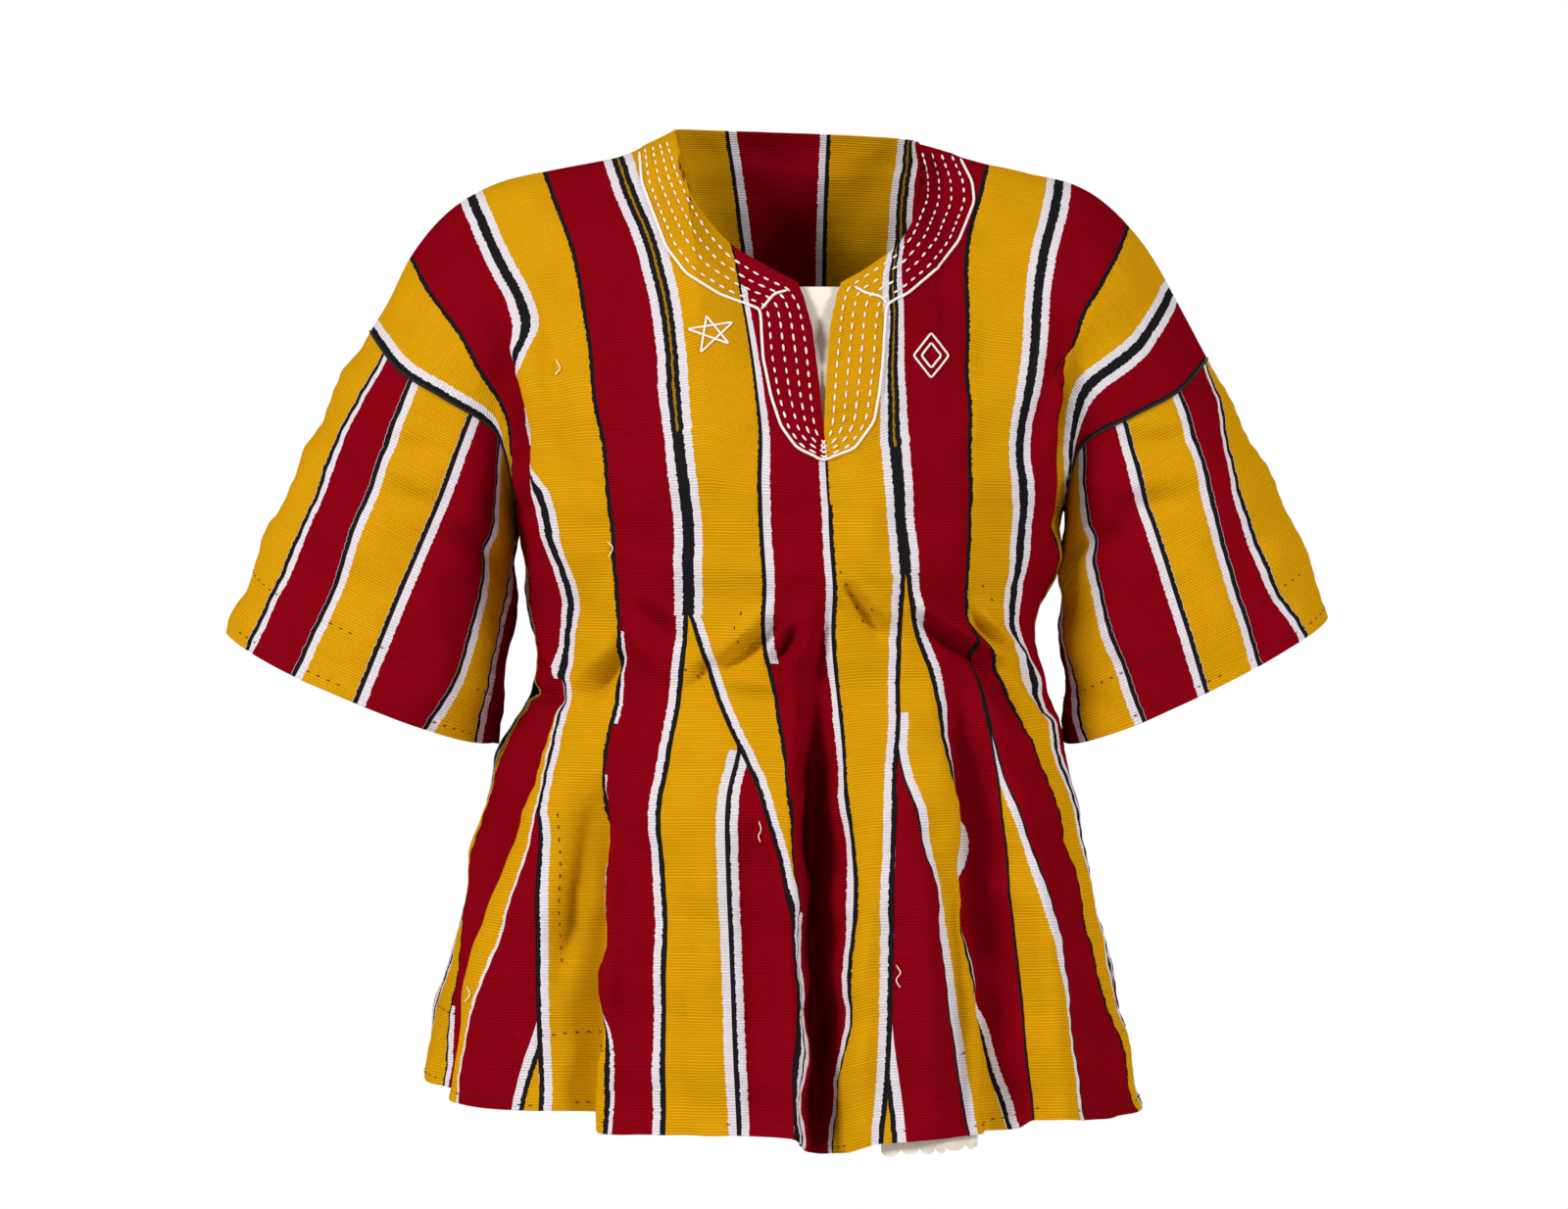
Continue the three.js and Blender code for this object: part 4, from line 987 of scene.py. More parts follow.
def shell(name, cells, chosen, start=0.0, wall=WALL):
    """Makes one piece from the chosen cells, with the facts about its lines as attributes."""
    quads = cells["quads"][chosen]
    used, local = np.unique(quads, return_inverse=True)
    local = local.reshape(-1, 4)
    skin = cells["vertices"][used]
    normal = cells["normals"][used]
    kept, faces = [], []
    for quad in local.tolist():
        corners = [k for k in range(4) if quad[k] != quad[k - 1]]
        kept.append(corners)
        faces.append([quad[k] for k in corners])
    keep = [i for i, face in enumerate(faces) if len(set(face)) == len(face) >= 3]
    edges = {}
    for i in keep:
        face = faces[i]
        for k, a in enumerate(face):
            b = face[(k + 1) % len(face)]
            if (b, a) in edges:
                del edges[(b, a)]
            else:
                edges[(a, b)] = (i, k)
    inward = np.zeros_like(skin)
    for (a, b), (i, k) in edges.items():
        face = faces[i]
        line = skin[b] - skin[a]
        line = line / max(np.linalg.norm(line), 1e-9)
        other = skin[face[(k + 2) % len(face)]] - skin[a]
        direction = other - line * (other @ line)
        direction = direction / max(np.linalg.norm(direction), 1e-9)
        inward[a] += direction
        inward[b] += direction
    skin = skin + unit(inward) * (np.linalg.norm(inward, axis=1, keepdims=True) > 1e-6) * SEAM_GAP / 2
    outer = skin - normal * start
    inner = outer - normal * wall
    count = len(skin)
    facts = cells["facts"][chosen]
    polygons, corner_facts, corner_normals, owner = [], [], [], []
    for i in keep:
        polygons.append(faces[i])
        corner_facts += [facts[i, k] for k in kept[i]]
        corner_normals += [normal[v] for v in faces[i]]
        owner.append(i)
    for i in keep:
        polygons.append([v + count for v in reversed(faces[i])])
        corner_facts += [facts[i, k] for k in reversed(kept[i])]
        corner_normals += [-normal[v] for v in reversed(faces[i])]
        owner.append(i)
    for (a, b), (i, k) in edges.items():
        first, second = kept[i][k], kept[i][(k + 1) % len(kept[i])]
        polygons.append([b, a, a + count, b + count])
        corner_facts += [facts[i, second], facts[i, first], facts[i, first], facts[i, second]]
        corner_normals += [unit(np.cross(outer[a] - outer[b], inner[a] - outer[a]))] * 4
        owner.append(i)
    mesh = bpy.data.meshes.new(name)
    mesh.from_pydata((np.concatenate([outer, inner]) * MM).tolist(), [], polygons)
    mesh.polygons.foreach_set("use_smooth", [True] * len(polygons))
    mesh.normals_split_custom_set([tuple(n) for n in corner_normals])
    left_line, right_line, red = (cells[key][chosen][owner] for key in ("left", "right", "red"))
    for key, values, domain in (
        ("left_line", left_line, "FACE"), ("right_line", right_line, "FACE"), ("red", red, "FACE"),
        ("from_seams", np.array(corner_facts), "CORNER"),
    ):
        kind, field = ("FLOAT", "value") if values.ndim == 1 else ("FLOAT_VECTOR", "vector")
        data = mesh.attributes.new(key, kind, domain).data
        data.foreach_set(field, values.astype(np.float32).ravel())
    mesh.update()
    return add_object(name, mesh)


def area_of(cells, chosen):
    """The area of the chosen cells in square metres."""
    crosses = diagonal_cross(*cells["vertices"][cells["quads"][chosen].T])
    return float(np.linalg.norm(crosses, axis=1).sum() / 2 * MM * MM)


cloth_pieces, areas = {}, {}
for cells in (body, *sleeves.values()):
    for name in sorted(set(cells["piece"])):
        chosen = cells["piece"] == name
        cloth_pieces[name] = shell(f"{name}_cloth", cells, chosen)
        areas[name] = area_of(cells, chosen)
print({name: (len(piece.data.polygons), round(areas[name], 4)) for name, piece in cloth_pieces.items()})

# %% [markdown]
# ## Linings
#
# A cream facing lies behind the slit and shows in it, and a bit of cream lining hangs just below the
# hem of the third gore, with a scalloped edge.

# %%
LINING_TURNS = (3.2, 14.4)
LINING_SHARE = 0.8
LINING_DEEPER = 3.4
SCALLOPS = 7
SCALLOP_DROP = 4
LINING_DROP = 5
SCALLOP_ROUND = 0.6
SCALLOP_STEPS = 3
HEM_LINING_TURNS = (20, 46)
HEM_LINING_ROW = 1.8125
FAR_FROM_SEAMS = 50.0


def plain_cells(grid, name):
    """Cells of a simple grid of points, far from any seam and with no lines."""
    points = corners_of(grid)
    no_line = np.zeros((len(points), 3))
    cells = no_cells()
    band = points, np.full_like(points, FAR_FROM_SEAMS), np.zeros_like(points)[..., :2]
    add_band(cells, band, no_line, no_line, "golden", name)
    cells = joined([cells])
    weld(cells)
    cells["normals"] = facing(cells["vertices"], cells["quads"])
    return cells


share = np.linspace(0, LINING_SHARE, 30)[:, None]
left_part = face_point("front", np.linspace(LINING_TURNS[0], SLIT_TURN, 6)[None], share, -1)
right_part = face_point("front", np.linspace(SLIT_TURN, LINING_TURNS[1], 6)[None], share, 1)
bridge = lerp(left_part[:, -1:], right_part[:, :1], np.linspace(0, 1, 7)[1:-1][None, :, None])
slit_cells = plain_cells(np.concatenate([left_part, bridge, right_part], axis=1), "slit_lining")

hem_turns = np.linspace(*HEM_LINING_TURNS, 57)
hem_grid = face_point("front", hem_turns[None], np.linspace(HEM_LINING_ROW, 2, 18)[:, None], 1)
down = unit(hem_grid[-1] - hem_grid[-3])
phase = np.linspace(0, SCALLOPS, len(hem_turns)) % 1
drop = LINING_DROP + SCALLOP_DROP * np.sin(np.pi * phase) ** SCALLOP_ROUND
shares = np.arange(1, SCALLOP_STEPS + 1)[:, None] / SCALLOP_STEPS
skirt_grid = np.concatenate([hem_grid, hem_grid[-1] + down * (drop * shares)[..., None]])
hem_cells = plain_cells(skirt_grid, "skirt_lining")
lining_pieces = {}
for name, cells in (("slit_lining", slit_cells), ("skirt_lining", hem_cells)):
    everything = np.ones(len(cells["piece"]), bool)
    lining_pieces[name] = shell(f"{name}_cloth", cells, everything, WALL + LINING_DEEPER, LINING_WALL)
    areas[name] = area_of(cells, everything)
print({name: (len(piece.data.polygons), round(areas[name], 4)) for name, piece in lining_pieces.items()})

# %% [markdown]
# ## Cloth finish
#
# One material draws every band from the attributes: golden or crimson yarn, then the white and the
# black lines beside each seam. Thick weft yarns make ribs across the strips. The lines step a little
# from rib to rib, as they do in hand weaving.

# %%
GOLDEN = (0.70, 0.345, 0.004, 1)
GOLDEN_DEEP = (0.55, 0.25, 0.003, 1)
CRIMSON = (0.27, 0.0015, 0.008, 1)
CRIMSON_DEEP = (0.175, 0.001, 0.005, 1)
LINE_WHITE = (0.72, 0.66, 0.70, 1)
LINE_BLACK = (0.012, 0.011, 0.013, 1)
CREAM = (0.86, 0.78, 0.67, 1)
THREAD_WHITE = (0.90, 0.82, 0.77, 1)
THREAD_BLACK = (0.014, 0.013, 0.015, 1)
PLAIN_SHADE = 0.82
RIB_PITCH = 1.8
RIB_WOBBLE = 1.5
DEEPEST_SHADE = 0.74
RIB_SHADE = 0.30
LINE_JITTER = 0.7
GAP_DARKENED = 0.5
NO_WIDTH = 0.01
BEYOND_SEAM = 2.0


class Shader:
    """A few short calls to build a node tree."""

    def __init__(self, name):
        self.material = bpy.data.materials.new(name)
        self.material.use_nodes = True
        self.tree = self.material.node_tree
        self.surface = self.tree.nodes["Principled BSDF"]

    def node(self, kind, inputs=(), output=0, **settings):
        """Makes a node, fills its inputs by number or name, and gives back one of its outputs."""
        made = self.tree.nodes.new(kind)
        for key, value in settings.items():
            setattr(made, key, value)
        for key, value in inputs.items() if isinstance(inputs, dict) else enumerate(inputs):
            self.put(made.inputs[key], value)
        return made.outputs[output]

    def put(self, socket, value):
        if isinstance(value, bpy.types.NodeSocket):
            self.tree.links.new(value, socket)
        else:
            socket.default_value = value

    def math(self, operation, *values):
        return self.node("ShaderNodeMath", values, operation=operation)

    def plus(self, a, b):
        return self.math("ADD", a, b)

    def minus(self, a, b):
        return self.math("SUBTRACT", a, b)

    def times(self, a, b):
        return self.math("MULTIPLY", a, b)

    def larger(self, a, b):
        return self.math("MAXIMUM", a, b)

    def is_above(self, a, b):
        return self.math("GREATER_THAN", a, b)

    def is_below(self, a, b):
        return self.math("LESS_THAN", a, b)

    def blend(self, factor, first, second):
        return self.node("ShaderNodeMix", {"Factor": factor, 6: first, 7: second}, 2, data_type="RGBA")

    def attribute(self, name, output="Vector"):
        return self.node("ShaderNodeAttribute", output=output, attribute_name=name)

    def noise(self, vector, scale, detail=2.0, roughness=0.5):
        inputs = {"Vector": vector, "Scale": scale, "Detail": detail, "Roughness": roughness}
        return self.node("ShaderNodeTexNoise", inputs, "Fac")

    def split(self, vector):
        return [self.node("ShaderNodeSeparateXYZ", [vector], axis) for axis in "XYZ"]

    def join(self, x, y):
        return self.node("ShaderNodeCombineXYZ", (x, y, 0.0))

    def finish(self, colour, roughness, specular, height, distance, strength):
        bump = {"Height": height, "Distance": distance, "Strength": strength}
        values = {"Base Color": colour, "Roughness": roughness, "Specular IOR Level": specular}
        for key, value in {**values, "Normal": self.node("ShaderNodeBump", bump)}.items():
            self.put(self.surface.inputs[key], value)
        return self.material


def woven_material():
    s = Shader("striped_cloth")
    from_left, from_right, along = s.split(s.attribute("from_seams"))
    red = s.attribute("red", "Fac")
    rib_number = s.math("FLOOR", s.math("DIVIDE", along, RIB_PITCH))
    random = s.node(
        "ShaderNodeTexWhiteNoise", {"Vector": s.join(rib_number, red)}, "Value", noise_dimensions="2D"
    )
    jitter = s.times(s.minus(random, 0.5), LINE_JITTER)
    # A line that starts at the seam itself starts a little beyond it, so that the jitter opens no gap.
    from_beyond = lambda low: s.minus(low, s.times(s.is_below(low, NO_WIDTH), BEYOND_SEAM))
    whites, blacks, gaps = [], [], []
    for distance, name in ((from_left, "left_line"), (from_right, "right_line")):
        begins, ends, white = s.split(s.attribute(name))
        here = s.plus(distance, jitter)
        inside = lambda low, high: s.times(s.is_above(here, low), s.is_below(here, high))
        blacks.append(s.times(inside(from_beyond(begins), ends), s.is_above(ends, NO_WIDTH)))
        low_white = from_beyond(s.math("MINIMUM", white, ends))
        has_white = s.is_above(s.larger(s.minus(white, ends), begins), NO_WIDTH)
        whites.append(s.times(inside(low_white, s.larger(white, begins)), has_white))
        gaps.append(s.times(s.is_below(here, begins), s.is_above(white, NO_WIDTH)))
    fibre = s.noise(s.join(s.times(from_left, 0.25), s.times(along, 1.1)), 1.0, 3.0, 0.6)
    patch = s.noise(s.node("ShaderNodeTexCoord", output="Object"), 22.0)
    worn = s.times(s.plus(fibre, patch), 0.5)
    golden = s.blend(worn, GOLDEN_DEEP, GOLDEN)
    crimson = s.blend(worn, CRIMSON_DEEP, CRIMSON)
    in_gap = s.larger(*gaps)
    colour = s.blend(s.times(red, s.minus(1.0, in_gap)), golden, crimson)
    colour = s.blend(s.times(in_gap, GAP_DARKENED), colour, LINE_BLACK)
    colour = s.blend(s.larger(*whites), colour, LINE_WHITE)
    colour = s.blend(s.larger(*blacks), colour, LINE_BLACK)
    wobble = s.times(s.noise(s.join(s.times(from_left, 0.06), along), 0.25), RIB_WOBBLE)
    angle = s.times(s.plus(along, wobble), 2 * math.pi / RIB_PITCH)
    rib = s.plus(s.times(s.math("SINE", angle), 0.5), 0.5)
    shade = s.plus(s.times(rib, RIB_SHADE), DEEPEST_SHADE)
    shaded = s.node("ShaderNodeVectorMath", {0: colour, "Scale": shade}, operation="SCALE")
    yarn = s.noise(s.join(s.times(from_left, 1.4), s.times(along, 0.8)), 1.0, 3.0, 0.65)
    return s.finish(shaded, 0.9, 0.0, s.plus(rib, s.times(yarn, 0.8)), 0.00035, 0.75)


def plain_material(name, colour, roughness, grain_scale):
    s = Shader(name)
    fine = s.noise(s.node("ShaderNodeTexCoord", output="Object"), grain_scale, 3.0, 0.6)
    deep = (*(part * PLAIN_SHADE for part in colour[:3]), 1)
    return s.finish(s.blend(fine, deep, colour), roughness, 0.2, fine, 0.0003, 0.6)


striped_cloth = woven_material()
cream_lining = plain_material("cream_lining", CREAM, 0.9, 900.0)
white_thread = plain_material("white_thread", THREAD_WHITE, 0.75, 1600.0)
black_thread = plain_material("black_thread", THREAD_BLACK, 0.75, 1600.0)
for piece in cloth_pieces.values():
    piece.data.materials.append(striped_cloth)
for piece in lining_pieces.values():
    piece.data.materials.append(cream_lining)
print("materials:", [m.name for m in (striped_cloth, cream_lining, white_thread, black_thread)])

# %% [markdown]
# ## Threads on the cloth
#
# Embroidery, motifs and hems are drawn on the front view too. A ray from the eye through each drawn
# point finds the cloth, so every thread lies on it. Solid lines are laid as cord. Running stitches
# repeat, so a node tree sets them along each line.

# %%
TUBE_UP = [0.13, 0.98, 0.17]
END_TAPER = 0.55
surfaces = {}


def tree_of(names):
    """A search tree over some pieces of the cloth."""
    key = tuple(names)
    if key not in surfaces:
        vertices, polygons = [], []
        for name in names:
            mesh, offset = cloth_pieces[name].data, len(vertices)
            vertices += [v.co.copy() for v in mesh.vertices]
            polygons += [[i + offset for i in p.vertices] for p in mesh.polygons]
        surfaces[key] = BVHTree.FromPolygons(vertices, polygons)
    return surfaces[key]


NAMES_ON = {face: [name for name in cloth_pieces if name.startswith(face)] for face in ("front", "back")}
eye = Vector(EYE) * MM


def on_cloth(x, y, lift):
    """The point of the front behind a drawn point, lifted off it by that many millimetres."""
    scale = UNITS_PER_MM / MM
    offset = Vector(((x - DRAWING_MIDDLE[0]) / scale, -EYE[1] * MM, -(y - DRAWING_MIDDLE[1]) / scale))
    tree = tree_of(NAMES_ON["front"])
    place, normal, _, _ = tree.ray_cast(eye, offset.normalized())
    if place is None:
        place, normal, _, _ = tree.find_nearest(eye + offset)
    if normal.dot(offset) > 0:
        normal = -normal
    return place + normal * lift * MM


def laid(points, lift, step=4, soft=2):
    """A drawn line laid on the cloth, with points at an even distance and its corners rounded."""
    points = np.array(points, float)
    lengths = run_of(points)
    at = np.linspace(0, lengths[-1], max(int(lengths[-1] / step), 2) + 1)
    line = np.stack([np.interp(at, lengths, column) for column in points.T], -1)
    for _ in range(soft):
        line[1:-1] = (line[:-2] + 2 * line[1:-1] + line[2:]) / 4
    return [on_cloth(x, y, lift) for x, y in line]


def tube(lines, name, radii, thread, sides=7):
    """Round cords along lines of points, in one mesh, with a radius for each line."""
    vertices, faces = [], []
    for line, radius in zip(lines, radii):
        points = np.array([tuple(p) for p in line])
        tangents = unit(np.gradient(points, axis=0))
        side = unit(np.cross(tangents, TUBE_UP))
        up = np.cross(side, tangents)
        start = len(vertices)
        for k in range(len(points)):
            taper = END_TAPER if k in (0, len(points) - 1) else 1.0
            for j in range(sides):
                angle = 2 * math.pi * j / sides
                ring = side[k] * math.cos(angle) + up[k] * math.sin(angle)
                vertices.append(points[k] + ring * radius * MM * taper)
        for k in range(len(points) - 1):
            for j in range(sides):
                a, b = start + k * sides + j, start + k * sides + (j + 1) % sides
                faces.append([a, b, b + sides, a + sides])
        faces.append([start + j for j in range(sides)])
        last_ring = start + (len(points) - 1) * sides
        faces.append([last_ring + j for j in reversed(range(sides))])
    mesh = bpy.data.meshes.new(name)
    mesh.from_pydata([tuple(v) for v in vertices], [], faces)
    mesh.polygons.foreach_set("use_smooth", [True] * len(faces))
    mesh.materials.append(thread)
    return add_object(name, mesh)


def stitch_tree():
    """Sets a stitch every Pitch along each line, with a little unevenness."""
    tree = bpy.data.node_groups.new("running_stitches", "GeometryNodeTree")
    for name, in_out, kind in (
        ("Geometry", "INPUT", "Geometry"), ("Pitch", "INPUT", "Float"), ("Length", "INPUT", "Float"),
        ("Radius", "INPUT", "Float"), ("Thread", "INPUT", "Material"), ("Geometry", "OUTPUT", "Geometry"),
    ):
        tree.interface.new_socket(name, in_out=in_out, socket_type="NodeSocket" + kind)
    kinds = {
        "given": "NodeGroupInput",
        "curve": "GeometryNodeMeshToCurve",
        "resample": "GeometryNodeResampleCurve",
        "ball": "GeometryNodeMeshUVSphere",
        "half": "ShaderNodeMath",
        "size": "ShaderNodeCombineXYZ",
        "shape": "GeometryNodeTransform",
        "tangent": "GeometryNodeInputTangent",
        "align": "FunctionNodeAlignEulerToVector",
        "uneven": "FunctionNodeRandomValue",
        "place": "GeometryNodeInstanceOnPoints",
        "smooth": "GeometryNodeSetShadeSmooth",
        "real": "GeometryNodeRealizeInstances",
        "material": "GeometryNodeSetMaterial",
        "result": "NodeGroupOutput",
    }
    nodes = {name: tree.nodes.new(kind) for name, kind in kinds.items()}
    nodes["resample"].mode = "LENGTH"
    nodes["half"].operation = "MULTIPLY"
    nodes["align"].axis = "X"
    nodes["uneven"].data_type = "FLOAT_VECTOR"
    for name, socket, value in (
        ("ball", "Segments", 8), ("ball", "Rings", 6), ("ball", "Radius", 1.0), ("half", 1, 0.5),
        ("uneven", "Min", (0.8, 0.85, 0.85)), ("uneven", "Max", (1.12, 1.1, 1.1)), ("uneven", "Seed", 11),
    ):
        nodes[name].inputs[socket].default_value = value
    for source, output, target, socket in (
        ("given", "Geometry", "curve", "Mesh"), ("curve", 0, "resample", "Curve"),
        ("given", "Pitch", "resample", "Length"), ("given", "Length", "half", 0),
        ("half", 0, "size", "X"), ("given", "Radius", "size", "Y"), ("given", "Radius", "size", "Z"),
        ("ball", "Mesh", "shape", "Geometry"), ("size", 0, "shape", "Scale"),
        ("resample", "Curve", "place", "Points"), ("shape", "Geometry", "place", "Instance"),
        ("tangent", 0, "align", "Vector"), ("align", 0, "place", "Rotation"),
        ("uneven", "Value", "place", "Scale"), ("place", "Instances", "smooth", "Geometry"),
        ("smooth", "Geometry", "real", "Geometry"), ("real", "Geometry", "material", "Geometry"),
        ("given", "Thread", "material", "Material"), ("material", "Geometry", "result", "Geometry"),
    ):
        tree.links.new(nodes[source].outputs[output], nodes[target].inputs[socket])
    return tree


stitches = stitch_tree()
sockets = {item.name: item.identifier for item in stitches.interface.items_tree if item.in_out == "INPUT"}


def stitch(lines, name, pitch, length, radius, thread):
    """Running stitches along lines, as one plain mesh."""
    vertices, edges = [], []
    for line in lines:
        start = len(vertices)
        vertices += [tuple(p) for p in line]
        edges += [(start + k, start + k + 1) for k in range(len(line) - 1)]
    mesh = bpy.data.meshes.new(name + "_lines")
    mesh.from_pydata(vertices, edges, [])
    guide = add_object(name + "_lines", mesh)
    modifier = guide.modifiers.new("stitches", "NODES")
    modifier.node_group = stitches
    for key, size in (("Pitch", pitch), ("Length", length), ("Radius", radius)):
        modifier[sockets[key]] = size * MM
    modifier[sockets["Thread"]] = thread
    bpy.context.view_layer.update()
    evaluated = guide.evaluated_get(bpy.context.evaluated_depsgraph_get())
    made = add_object(name, bpy.data.meshes.new_from_object(evaluated))
    made.data.name = name
    bpy.data.objects.remove(guide)
    return made


# Left and right halves of the band and placket, as pairs of stations: inner edge, outer cord.
LEFT_STATIONS = [
    ((687, 146), (653, 156)), ((697, 172), (655, 186)), ((710, 203), (667, 218)), ((730, 234), (680, 252)),
    ((752, 258), (700, 279)), ((784, 278), (735, 301)), ((812, 292), (776, 316)), ((824, 312), (777, 332)),
    ((831, 350), (779, 365)), ((835, 400), (786, 402)), ((838, 436), (797, 435)), ((839, 444), (813, 457)),
    ((840, 448), (840, 470)),
]
RIGHT_STATIONS = [
    ((934, 158), (980, 163)), ((937, 180), (992, 186)), ((936, 205), (994, 206)), ((922, 240), (978, 246)),
    ((905, 260), (955, 275)), ((880, 275), (926, 300)), ((857, 291), (905, 310)), ((850, 316), (903, 330)),
    ((846, 356), (901, 365)), ((843, 400), (897, 402)), ((841, 436), (892, 430)), ((841, 444), (872, 458)),
    ((840, 448), (842, 470)),
]
STITCH_SHARES = [0.17, 0.38, 0.6, 0.83]
LEFT_HOOK = [(803, 297), (790, 300), (777, 316)]
RIGHT_HOOK = [(872, 293), (884, 300), (900, 303), (905, 310)]
STAR = [(721, 323), (715, 360), (748, 329), (702, 336), (744, 351)]
LOZENGE = [(950, 340), (968, 363), (950, 386), (932, 363)]
LOZENGE_INNER = [(950, 350), (960, 363), (950, 376), (940, 363)]
CORD_RADIUS = 0.9
MOTIF_RADIUS = 0.7

halves = [np.array(table, float).transpose(1, 0, 2) for table in (LEFT_STATIONS, RIGHT_STATIONS)]
rows_of_stitches = [
    laid(lerp(inner, outer, share), lift=0.4) for inner, outer in halves for share in STITCH_SHARES
]
(_, left_outline), (_, right_outline) = halves
cords = [laid(np.concatenate([left_outline, right_outline[-2::-1]]), lift=0.6, step=3, soft=3)]
cords += [laid(hook, lift=0.7, step=3) for hook in (LEFT_HOOK, RIGHT_HOOK)]
motifs = [laid(motif + motif[:1], lift=0.5, step=2, soft=1) for motif in (STAR, LOZENGE, LOZENGE_INNER)]
embroidery_stitches = stitch(
    rows_of_stitches, "embroidery_stitches", pitch=7.6, length=4.8, radius=0.7, thread=white_thread
)
cord_radii = [CORD_RADIUS] * len(cords) + [MOTIF_RADIUS] * len(motifs)
embroidery_cords = tube(cords + motifs, "embroidery_cords", cord_radii, white_thread)
print("embroidery faces:", [len(piece.data.polygons) for piece in (embroidery_stitches, embroidery_cords)])

# %% [markdown]
# Hems and cuffs are turned in and held by small dark running stitches, and a black thread closes
# each armhole. A few loose ends hang from the seams.

# %%
SIDE_OF = {"sleeve_left": -1, "sleeve_right": 1}
ARM_START = 150
ARM_LEAN = 0.9
HEM_LIFT = 0.35
HEM_STITCH_ROWS = (1.985, 1.87)
CUFF_STITCH_ROWS = (0.965, 0.80)


def ring_on(names, points, lift):
    """Points in millimetres moved to the nearest cloth and lifted out of it, away from the body's
    middle or the arm's."""
    tree = tree_of(names)
    side = SIDE_OF.get(names[0], 0)
    made = []
    for point in points:
        place, normal, _, _ = tree.find_nearest(Vector(point * MM))
        middle = side * (ARM_START + ARM_LEAN * (-point[2] - ARM_START))
        outward = Vector((point[0] - middle, point[1], 0))
        made.append(place + normal * (lift * MM if normal.dot(outward) > 0 else -lift * MM))
    return made


hem_rows = []
turns = np.linspace(-88, 88, 150)
waver = 0.004 * np.sin(turns * 0.21) + 0.003 * np.sin(turns * 0.57 + 1)
for face, names in NAMES_ON.items():
    for row in HEM_STITCH_ROWS:
        points = face_point(face, turns, row + waver, np.where(turns < SLIT_TURN, -1, 1))
        hem_rows.append(ring_on(names, points, HEM_LIFT))
for name, side in SIDE_OF.items():
    for along in CUFF_STITCH_ROWS:
        points = sleeve_point(side, np.linspace(0.02, 1.98, 110), along)
        hem_rows.append(ring_on([name], points, HEM_LIFT))
# Tacks that hold the strips together at the waist, and mend one of them
TACKS = [
    [(569, 832), (572, 880), (570, 930), (573, 980)],
    [(756, 626), (748, 640), (753, 655)],
    [(858, 584), (868, 606), (880, 634)],
    [(884, 608), (890, 622)],
    [(1003, 598), (1012, 612)],
    [(700, 684), (712, 690)],
]
hem_rows += [laid(line, lift=0.3) for line in TACKS]
hem_stitches = stitch(hem_rows, "hem_stitches", pitch=7.5, length=2.6, radius=0.4, thread=black_thread)

around = np.linspace(0.0, 2.0, 121)
armhole_lines = [ring_on([name], sleeve_point(side, around, 0.004), 0.5) for name, side in SIDE_OF.items()]
armhole_threads = tube(armhole_lines, "armhole_threads", [1.0, 1.0], black_thread)

LOOSE_ENDS = [
    [(775, 838), (778, 846), (774, 853), (777, 859)],
    [(915, 985), (920, 993), (914, 1000), (919, 1008)],
    [(478, 1008), (482, 1015), (476, 1022)],
    [(568, 368), (574, 376), (567, 383)],
    [(620, 552), (627, 560), (621, 568)],
]
loose_lines = [laid(line, lift=1.4, step=2) for line in LOOSE_ENDS]
loose_ends = tube(loose_lines, "loose_ends", [0.35] * len(loose_lines), white_thread, sides=5)
print("hem stitch faces:", len(hem_stitches.data.polygons))

# %% [markdown]
# ## Hanging the pieces from the root, and hiding the frame's parts they replace

# %%
white_pieces = [embroidery_stitches, embroidery_cords, loose_ends]
for pieces, slot in ((white_pieces, "white_thread"), ([hem_stitches, armhole_threads], "black_thread")):
    for piece in pieces:
        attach(piece, "root")
for name, piece in {**cloth_pieces, **lining_pieces}.items():
    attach(piece, "root")
    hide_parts(name)

# %% [markdown]
# ## Stage
#
# A plain pale floor below the hem, a white surround, soft light from large panels, and a level
# camera in front.

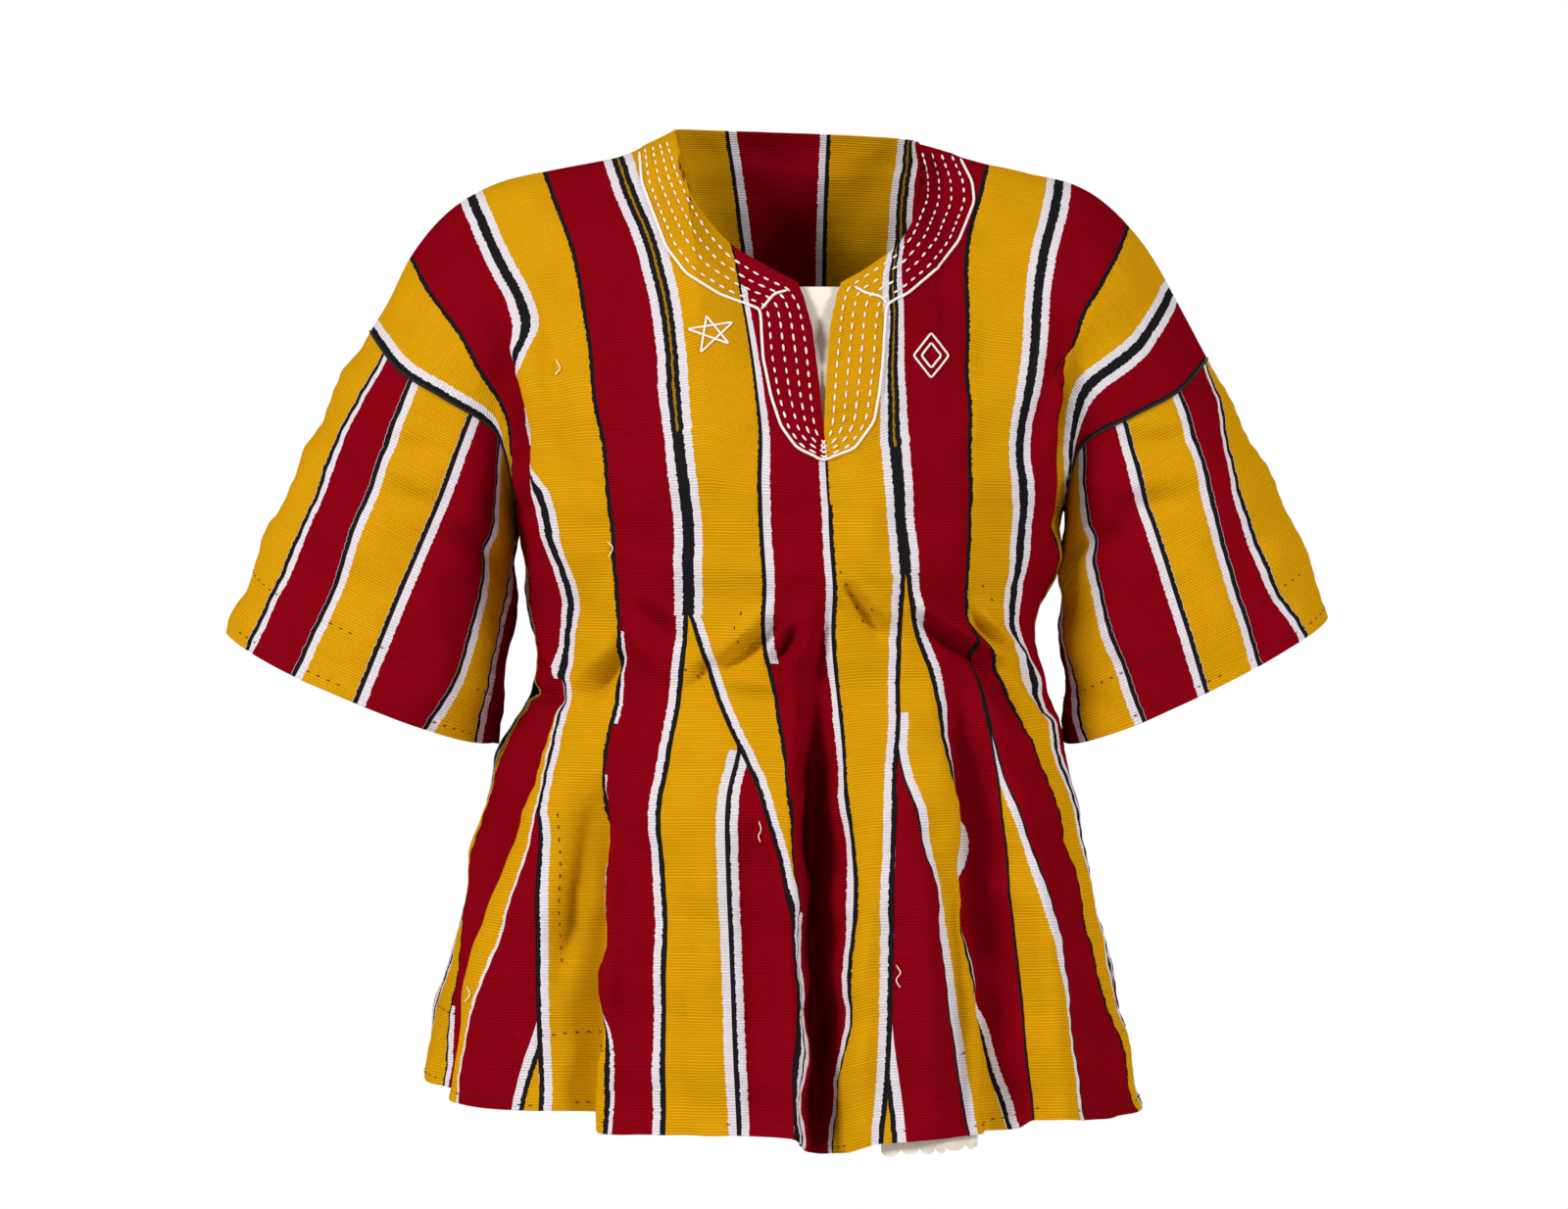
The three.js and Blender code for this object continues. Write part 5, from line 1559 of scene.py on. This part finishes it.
# %%
scene = bpy.context.scene
scene.view_settings.view_transform = "Standard"
FLOOR_HEIGHT = -0.93
bpy.ops.mesh.primitive_plane_add(size=3.0, location=(0, 0, FLOOR_HEIGHT))
floor = bpy.context.object
floor.name = "floor"
floor_material = bpy.data.materials.new("pale_floor")
floor_material.use_nodes = True
floor_surface = floor_material.node_tree.nodes["Principled BSDF"].inputs
floor_surface["Base Color"].default_value = (0.85, 0.85, 0.85, 1)
floor_surface["Roughness"].default_value = 0.8
floor.data.materials.append(floor_material)


def panel_light(name, place, target, size, power):
    data = bpy.data.lights.new(name, "AREA")
    data.size = size
    data.energy = power
    light = add_object(name, data)
    light.location = place
    light.rotation_mode = "QUATERNION"
    light.rotation_quaternion = (Vector(target) - Vector(place)).to_track_quat("-Z", "Y")


panel_light("key", (-2.2, -1.8, 1.0), (0, 0, -0.3), 0.8, 82)
panel_light("fill", (2.2, -1.8, 0.8), (0, 0, -0.3), 0.8, 54)
panel_light("back", (0.6, 2.0, 0.9), (0, 0, -0.25), 1.4, 30)

WORLD_SEEN = 1.0
WORLD_LIT = 0.25
world = bpy.data.worlds.new("white_surround")
world.use_nodes = True
nodes, links = world.node_tree.nodes, world.node_tree.links
seen, lit = nodes["Background"], nodes.new("ShaderNodeBackground")
either = nodes.new("ShaderNodeMixShader")
for background, strength in ((seen, WORLD_SEEN), (lit, WORLD_LIT)):
    background.inputs["Color"].default_value = (1, 1, 1, 1)
    background.inputs["Strength"].default_value = strength
is_seen = nodes.new("ShaderNodeLightPath").outputs["Is Camera Ray"]
for output, socket in zip((is_seen, lit.outputs[0], seen.outputs[0]), either.inputs):
    links.new(output, socket)
links.new(either.outputs[0], nodes["World Output"].inputs["Surface"])
scene.world = world

SENSOR_WIDTH = 36
camera_data = bpy.data.cameras.new("camera")
camera_data.sensor_width = SENSOR_WIDTH
camera_data.lens = SENSOR_WIDTH * -EYE[1] * UNITS_PER_MM / DRAWING_WIDTH
camera = add_object("camera", camera_data)
camera.location = eye
camera.rotation_euler = (math.radians(90), 0, 0)
scene.camera = camera
print("lens:", round(camera_data.lens, 2))
